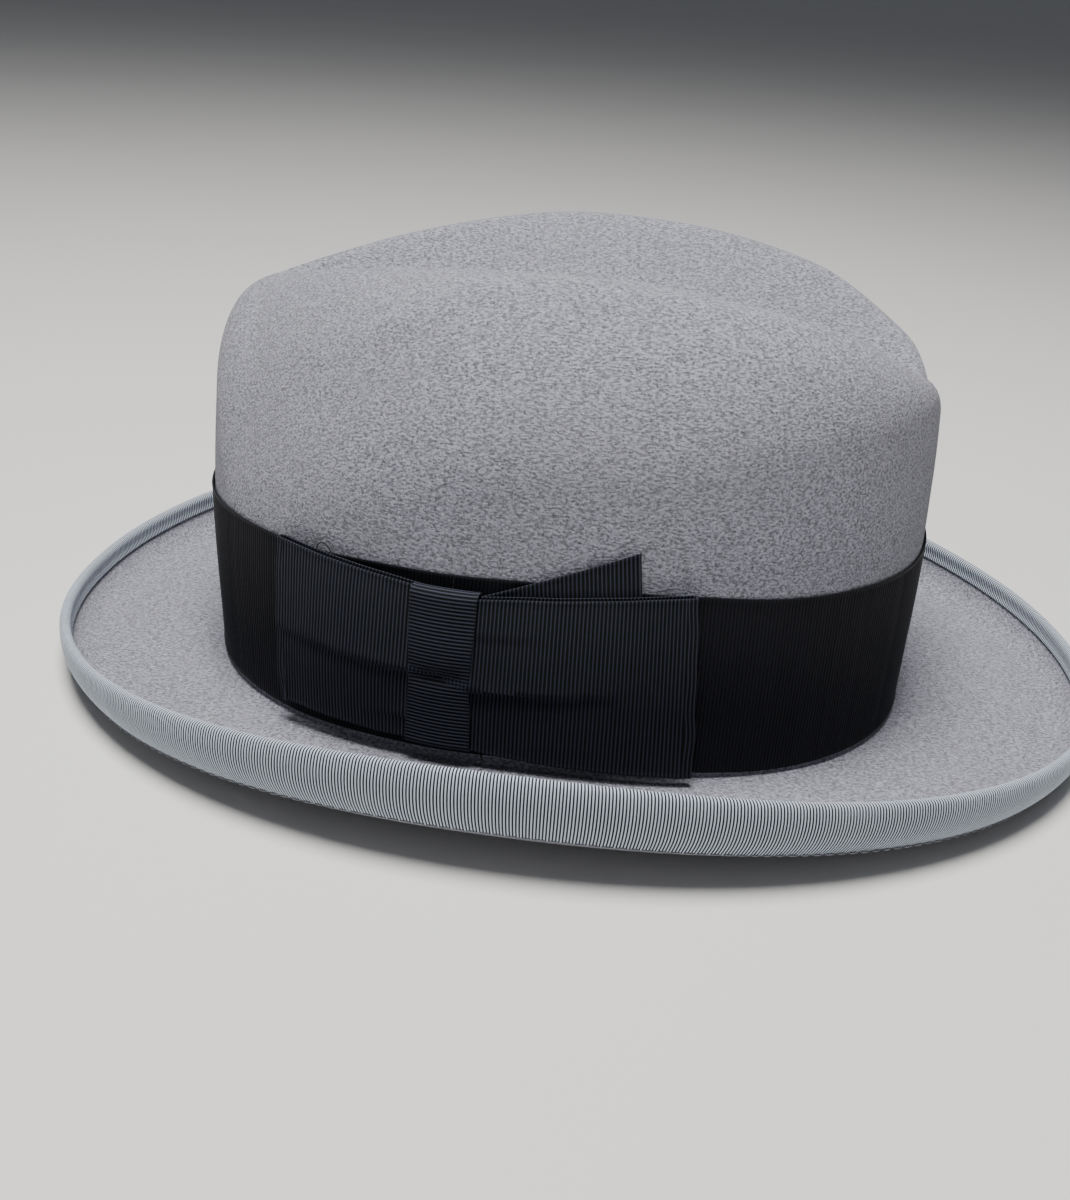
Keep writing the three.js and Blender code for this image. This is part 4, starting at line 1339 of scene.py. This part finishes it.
for tack_name, node, degrees in (
    ("tack_rear", "hatband_tack_rear", 4),
    ("tack_right", "hatband_tack_right", 270),
    ("tack_front", "hatband_tack_front", 184),
):
    keep(make_tack(tack_name, degrees), "thread_navy", node)

# %% [markdown]
# ## Loose threads
#
# Two ends of sewing thread have worked loose: a small loop over the band's top edge and a tail under
# the wrap. Thread is two strands twisted together, so a tube with a two-lobed section that turns as it
# goes along gives the twist in the shape itself.

# %% Make the loose threads
THREAD_SIDES = 10
TWIST_PITCH = 1.3


def smooth_path(points, count):
    """A Catmull-Rom curve through points, sampled evenly by share."""
    padded = np.concatenate([[2 * points[0] - points[1]], points, [2 * points[-1] - points[-2]]])
    made = []
    for share in np.linspace(0, len(points) - 1 - 1e-9, count):
        i, t = int(share), share % 1
        p0, p1, p2, p3 = padded[i : i + 4]
        square, cube = 2 * p0 - 5 * p1 + 4 * p2 - p3, 3 * p1 - p0 - 3 * p2 + p3
        made.append(0.5 * (2 * p1 + (p2 - p0) * t + square * t**2 + cube * t**3))
    return np.array(made)


def twisted_thread(name, rows):
    """A thread through places given as degrees round the crown, a height, and a distance out."""
    angles, heights, outs = np.array(rows).T
    path = smooth_path(beside_wall(np.radians(angles), heights, outs), 90)
    tangent = np.gradient(path, axis=0)
    tangent /= np.linalg.norm(tangent, axis=1, keepdims=True)
    side = np.cross(tangent[0], (0, 0, 1))
    sides = []
    for direction in tangent:
        side = side - direction * (side @ direction)
        side = side / np.linalg.norm(side)
        sides.append(side)
    sides = np.array(sides)
    third = np.cross(tangent, sides)
    travelled = np.concatenate([[0], np.cumsum(np.linalg.norm(np.diff(path, axis=0), axis=1))])
    turn = np.arange(THREAD_SIDES)[:, None] / THREAD_SIDES * 2 * np.pi
    radius = THREAD_DIAMETER / 2 * (0.68 + 0.32 * np.abs(np.cos(turn - travelled / TWIST_PITCH * np.pi)))
    taper = np.minimum(1, np.minimum(travelled, travelled[-1] - travelled) / (1.2 * THREAD_DIAMETER) + 0.35)
    radius = radius * taper
    rings = path + sides * (radius * np.cos(turn))[..., None] + third * (radius * np.sin(turn))[..., None]
    uv = (travelled, np.arange(THREAD_SIDES + 1) / THREAD_SIDES)
    return loft(name, rings, thread_navy, closed=True, uv=uv)


edge_z = float(band_top(np.radians(127.0)))
loop_rows = [
    (128.2, edge_z - 1.5, 1.4),
    (128.0, edge_z + 1.2, 1.7),
    (127.0, edge_z + 2.6, 2.0),
    (125.8, edge_z + 2.0, 2.0),
    (125.2, edge_z - 0.6, 1.6),
    (124.9, edge_z - 1.8, 1.4),
]
end_rows = [(97.9, 10.9, 2.0), (97.4, 10.4, 3.0), (97.0, 10.0, 4.2), (97.2, 9.8, 5.4), (97.6, 9.9, 6.2)]
keep(twisted_thread("thread_loop", loop_rows), "thread_navy", "loose_thread_loop")
keep(twisted_thread("thread_end", end_rows), "thread_navy", "loose_thread_end")

# %% [markdown]
# ## The sweatband
#
# Inside, a strip of thin leather is sewn to the felt at the crown's foot through a plastic reed and a
# cloth tape. It was cut long and turned in, so worn leather has shallow upright creases. Its two ends
# meet at the rear, where a piece of tape backs them and a small bow marks the back.

# %% Make the sweatband, its reed and its tape
LEATHER_THICKNESS, LEATHER_TOP = 1.0, 51.0
LEATHER_OUT = -4.4  # its inner face, inside the felt's outer face
REED_RADIUS, REED_OUT = 0.8, -3.9
TAPE_HEIGHT, STITCH_HEIGHT = 7, 4  # above the reed
HEAD_ROUND = 560  # about the length round the inside


def reed_height(phi):
    """The height of the reed's middle."""
    return between(phi, BREAK_HEIGHT) + 0.4


def make_sweatband():
    seam = 0.3 / CROWN_HALF_LENGTH
    phi = np.linspace(seam, 2 * np.pi - seam, 360)
    share = np.linspace(0, 1, 26)[:, None]
    low = reed_height(phi) + REED_RADIUS + 0.6
    z = LEATHER_TOP + (low - LEATHER_TOP) * share
    crease = soft_waves(np.stack([90 * np.sin(phi), 90 * np.cos(phi), 0 * phi], axis=-1), 17, seed=21)
    inward = np.maximum(crease, 0) * 0.9 * np.sin(np.pi * share) ** 1.2
    rolled = 0.25 * np.exp(-((share / 0.03) ** 2))
    inner = beside_wall(phi, z, LEATHER_OUT - inward + rolled)
    outer = beside_wall(phi, z, LEATHER_OUT + LEATHER_THICKNESS - inward)
    return loft("leather_sweatband", np.concatenate([outer, inner[::-1]]), leather, closed=True)


def ring_about(name, place_at, radius, sides, material, columns=240):
    """A round ring whose section is a circle at a place (offset, height) beside the wall."""
    phi = np.linspace(0, 2 * np.pi, columns, endpoint=False)
    turn = np.arange(sides)[:, None] / sides * 2 * np.pi
    offset, z = place_at(phi)
    rings = beside_wall(phi, z + radius * np.sin(turn), offset + radius * np.cos(turn))
    uv = (np.arange(columns + 1) / columns * HEAD_ROUND, np.arange(sides + 1) / sides)
    return loft(name, rings, material, wrap=True, closed=True, uv=uv)


def make_reed_tape():
    """The tape runs down beside the felt, turns under the reed and ends on its inner side."""
    phi = np.linspace(0, 2 * np.pi, 360, endpoint=False)
    wrap = REED_RADIUS + 0.3 + RIBBON_THICKNESS / 2
    turn = -np.linspace(0, np.pi, 9)[:, None]
    pucker = 0.12 * np.sin(phi * 150)

    def layer(grow):
        reach = wrap + grow
        top_out, top_z = np.full((1, 360), REED_OUT + reach), (reed_height(phi) + TAPE_HEIGHT)[None]
        out = np.concatenate([top_out, REED_OUT + reach * np.cos(turn) + 0 * phi])
        z = np.concatenate([top_z, reed_height(phi) + reach * np.sin(turn)])
        return beside_wall(phi, z + pucker, out)

    rings = np.concatenate([layer(RIBBON_THICKNESS / 2), layer(-RIBBON_THICKNESS / 2)[::-1]])
    uv = (np.arange(361) / 360 * 0.56, np.arange(21) / 20 * 0.01)
    return loft("reed_tape_strip", rings, tape_cloth, wrap=True, closed=True, uv=uv)


keep(make_sweatband(), "leather", "sweatband")
reed_place = lambda phi: (np.full_like(phi, REED_OUT), reed_height(phi))
reed = ring_about("plastic_reed", reed_place, REED_RADIUS, 10, clear_film)
keep(reed, "reed", "sweatband_reed")
keep(make_reed_tape(), "tape", "reed_tape")


# %% Stitch the sweatband, and add its tape, label and bow
LEATHER_STITCH = {"pitch": 2.6, "length": 2.1, "diameter": THREAD_DIAMETER}


def make_sweatband_stitches():
    phi = np.linspace(0, 2 * np.pi, 720, endpoint=False)
    points = beside_wall(phi, reed_height(phi) + STITCH_HEIGHT, LEATHER_OUT - THREAD_DIAMETER / 2)
    return sew("sweatband_stitches", points, material=thread_grey, **LEATHER_STITCH)


BEHIND_LEATHER, PATCH_THICKNESS, PATCH_WAVES = -2.8, 0.5, 0.15


def wall_patch(name, angles, low, high, material):
    """A small flat piece of cloth behind the leather, with softly uneven edges and face."""
    phi = np.radians(np.linspace(*angles, 48))
    share = np.linspace(0, 1, 24)[:, None]
    z = high + (low - high) * share + 0 * phi
    place = to_points(phi, wall_radius(phi, z), z)
    uneven = PATCH_WAVES * soft_waves(place, 9, seed=31)
    z = z + 0.5 * PATCH_WAVES * soft_waves(place, 4, seed=32)
    face = beside_wall(phi, z, BEHIND_LEATHER + PATCH_THICKNESS + uneven)
    back = beside_wall(phi, z, BEHIND_LEATHER + uneven)
    arc = math.radians(angles[1] - angles[0]) * 0.1
    uv = (np.linspace(0, arc, 48), np.linspace(0, 0.05, 49))
    return loft(name, np.concatenate([face, back[::-1]]), material, closed=True, uv=uv)


BACK_BOW = {"half_angle": math.radians(7), "height": 44, "waist": 2, "flare": 3, "width": 7.0}


def make_inner_bow():
    """A little flat bow: its height flares from the middle to both ends."""
    half_angle, width = BACK_BOW["half_angle"], BACK_BOW["width"]
    phi = np.linspace(-half_angle, half_angle, 57)
    from_middle = np.abs(phi) / half_angle
    distance = edge_rows(width, 14)
    share = distance[:, None] / width
    z = BACK_BOW["height"] + (BACK_BOW["waist"] + BACK_BOW["flare"] * from_middle) * (1 - 2 * share)
    gather = 0.35 * np.exp(-np.abs(phi) / 0.03) * np.cos(share * 30)
    swell = 0.6 * np.cos(from_middle * np.pi / 2)
    face = beside_wall(phi, z, LEATHER_OUT - 0.5 - swell + gather)
    return ribbon("back_bow", face, distance, np.arange(57) / COLUMNS_PER_RIB, ribbon_navy, depth=0.12)


keep(make_sweatband_stitches(), "thread_grey", "sweatband_thread")
seam_tape = wall_patch("seam_backing_tape", (-3.5, 3.5), 13, 36, tape_cloth)
keep(seam_tape, "tape", "sweatband_seam_tape")
keep(wall_patch("blank_size_label", (9, 21), 14, 34, label_cloth), "paper", "size_label")
keep(make_inner_bow(), "band_ribbon", "sweatband_bow")

# %% [markdown]
# ## The lining
#
# A satin lining fills the crown: a gathered wall and a flat tip that hangs a little below the felt, with
# a clear guard under it. The gathers are upright folds that are deepest at the bottom edge and pressed
# flat where the wall meets the tip, so the fold depth grows with the distance from the shoulder.

# %% Make the lining
LINING_BOTTOM, TIP_DROP, SATIN_THICKNESS = 38.0, 6.0, 0.5
GATHERS = 64


def make_lining_side():
    phi = np.linspace(0, 2 * np.pi, GATHERS * 8, endpoint=False)
    radius, z = crown_profile(phi, 5, 8, 18, np.full_like(phi, LINING_BOTTOM))
    grid = to_points(phi, radius, z)[6:]
    rows = len(grid)
    share = np.linspace(0, 1, rows)[:, None]
    normal = grid_normals(grid, True)
    wander = 0.5 * np.sin(7 * phi) + 0.4 * np.sin(11 * phi + 1)
    fold = np.abs(np.sin(phi * GATHERS / 2 + wander)) ** 0.7
    depth = 2.4 + 1.6 * np.exp(-share / 0.1) + 1.1 * share**0.6 * fold
    inner = grid - normal * (depth + 0.4)[..., None]
    outer = grid - normal * depth[..., None]
    uv = (np.arange(len(phi) + 1) / len(phi) * 0.56, np.linspace(0, 0.1, 2 * rows + 1))
    return loft("lining_wall", np.concatenate([outer, inner[::-1]]), satin, wrap=True, closed=True, uv=uv)


TIP_ROWS = 33  # two rows more than the flat of the top, so the tip's edge tucks under the wall's


def make_lining_tip():
    phi = np.linspace(0, 2 * np.pi, 240, endpoint=False)
    radius, z = crown_profile(phi, 30, 16, 2, np.full_like(phi, 60.0))
    radius, z = radius[:TIP_ROWS], z[:TIP_ROWS]
    place = to_points(phi, radius, z)
    rumple = 0.35 * soft_waves(place, 30, seed=41)
    upper = to_points(phi, radius, z - TIP_DROP + rumple)
    lower = to_points(phi, radius, z - TIP_DROP - SATIN_THICKNESS + rumple)
    uv = (np.arange(241) / 240 * 0.5, np.linspace(0, 0.2, 2 * TIP_ROWS))
    rings = np.concatenate([upper, lower[::-1]])
    return loft("lining_tip_panel", rings, satin, wrap=True, poles=(True, True), uv=uv)


GUARD_HALF_WIDTH, GUARD_HALF_LENGTH, GUARD_SQUARENESS = 26, 38, 1.6
GUARD_DROP, GUARD_THICKNESS = 1.7, 0.3  # under the lining's tip


def make_tip_guard():
    phi = np.linspace(0, 2 * np.pi, 120, endpoint=False)
    share = np.linspace(0, 1, 16)[:, None]
    radius = oval_radius(phi, GUARD_HALF_WIDTH, GUARD_HALF_LENGTH, GUARD_SQUARENESS) * share
    z = top_at(phi, radius) - TIP_DROP - GUARD_DROP
    swell = 0.2 * soft_waves(to_points(phi, radius, z), 14, seed=51)
    upper = to_points(phi, radius, z + swell)
    lower = to_points(phi, radius, z + swell - GUARD_THICKNESS)
    rings = np.concatenate([upper, lower[::-1]])
    return loft("clear_tip_guard", rings, clear_film, wrap=True, poles=(True, True))


lining_wall = make_lining_side()
keep(lining_wall, "lining", "lining_side")
lining_tip = make_lining_tip()
keep(lining_tip, "lining", "lining_tip")
keep(make_tip_guard(), "film", "tip_guard")

# %% [markdown]
# ## Floor and light
#
# The hat stands on a plain pale floor. Daylight under a bright sky is soft and comes from above, so a
# large overhead area light, a weaker one from the side and an even background do the work.

# %% Add the floor and the lights
FLOOR_SIZE = 40  # metres, so that its edge stays out of sight
LIT_PLACE = (0, 0, 0.05)


def make_floor():
    mesh = bpy.data.meshes.new("floor")
    shape = bmesh.new()
    bmesh.ops.create_grid(shape, x_segments=8, y_segments=8, size=FLOOR_SIZE)
    shape.to_mesh(mesh)
    shape.free()
    floor = bpy.data.objects.new("floor", mesh)
    floor.location.z = float(cad_box[0].z) - 0.0002
    bpy.context.scene.collection.objects.link(floor)
    material, tree, shader = new_material("pale_floor", roughness=0.9)
    mottle = noise(tree, coordinates(tree, "Object"), 3.0, detail=3.0)
    color = blend_colors(tree, mottle, (0.6, 0.59, 0.57), (0.66, 0.65, 0.63))
    tree.links.new(color, shader.inputs["Base Color"])
    mesh.materials.append(material)
    return floor


def add_area_light(name, place, size, energy, color):
    light = bpy.data.lights.new(name, "AREA")
    light.shape, light.size = "DISK", size
    light.energy, light.color = energy, color
    lamp = bpy.data.objects.new(name, light)
    lamp.location = place
    lamp.rotation_euler = (Vector(LIT_PLACE) - Vector(place)).to_track_quat("-Z", "Y").to_euler()
    bpy.context.scene.collection.objects.link(lamp)


def set_background(color, strength):
    world = bpy.data.worlds.new("sky")
    world.use_nodes = True
    bpy.context.scene.world = world
    background = world.node_tree.nodes["Background"]
    background.inputs[0].default_value = (*color, 1)
    background.inputs[1].default_value = strength


make_floor()
add_area_light("overhead", (0.16, -0.08, 1.25), 0.55, 34, (1, 0.99, 0.975))
add_area_light("side_fill", (1.2, -0.1, 0.4), 0.8, 1.5, (0.95, 0.97, 1))
set_background((0.85, 0.9, 1.0), 0.13)
print("floor and lights ready")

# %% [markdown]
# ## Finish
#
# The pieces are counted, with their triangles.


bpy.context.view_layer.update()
print(len(pieces), "pieces,", sum(triangle_count(piece) for piece in pieces), "triangles")
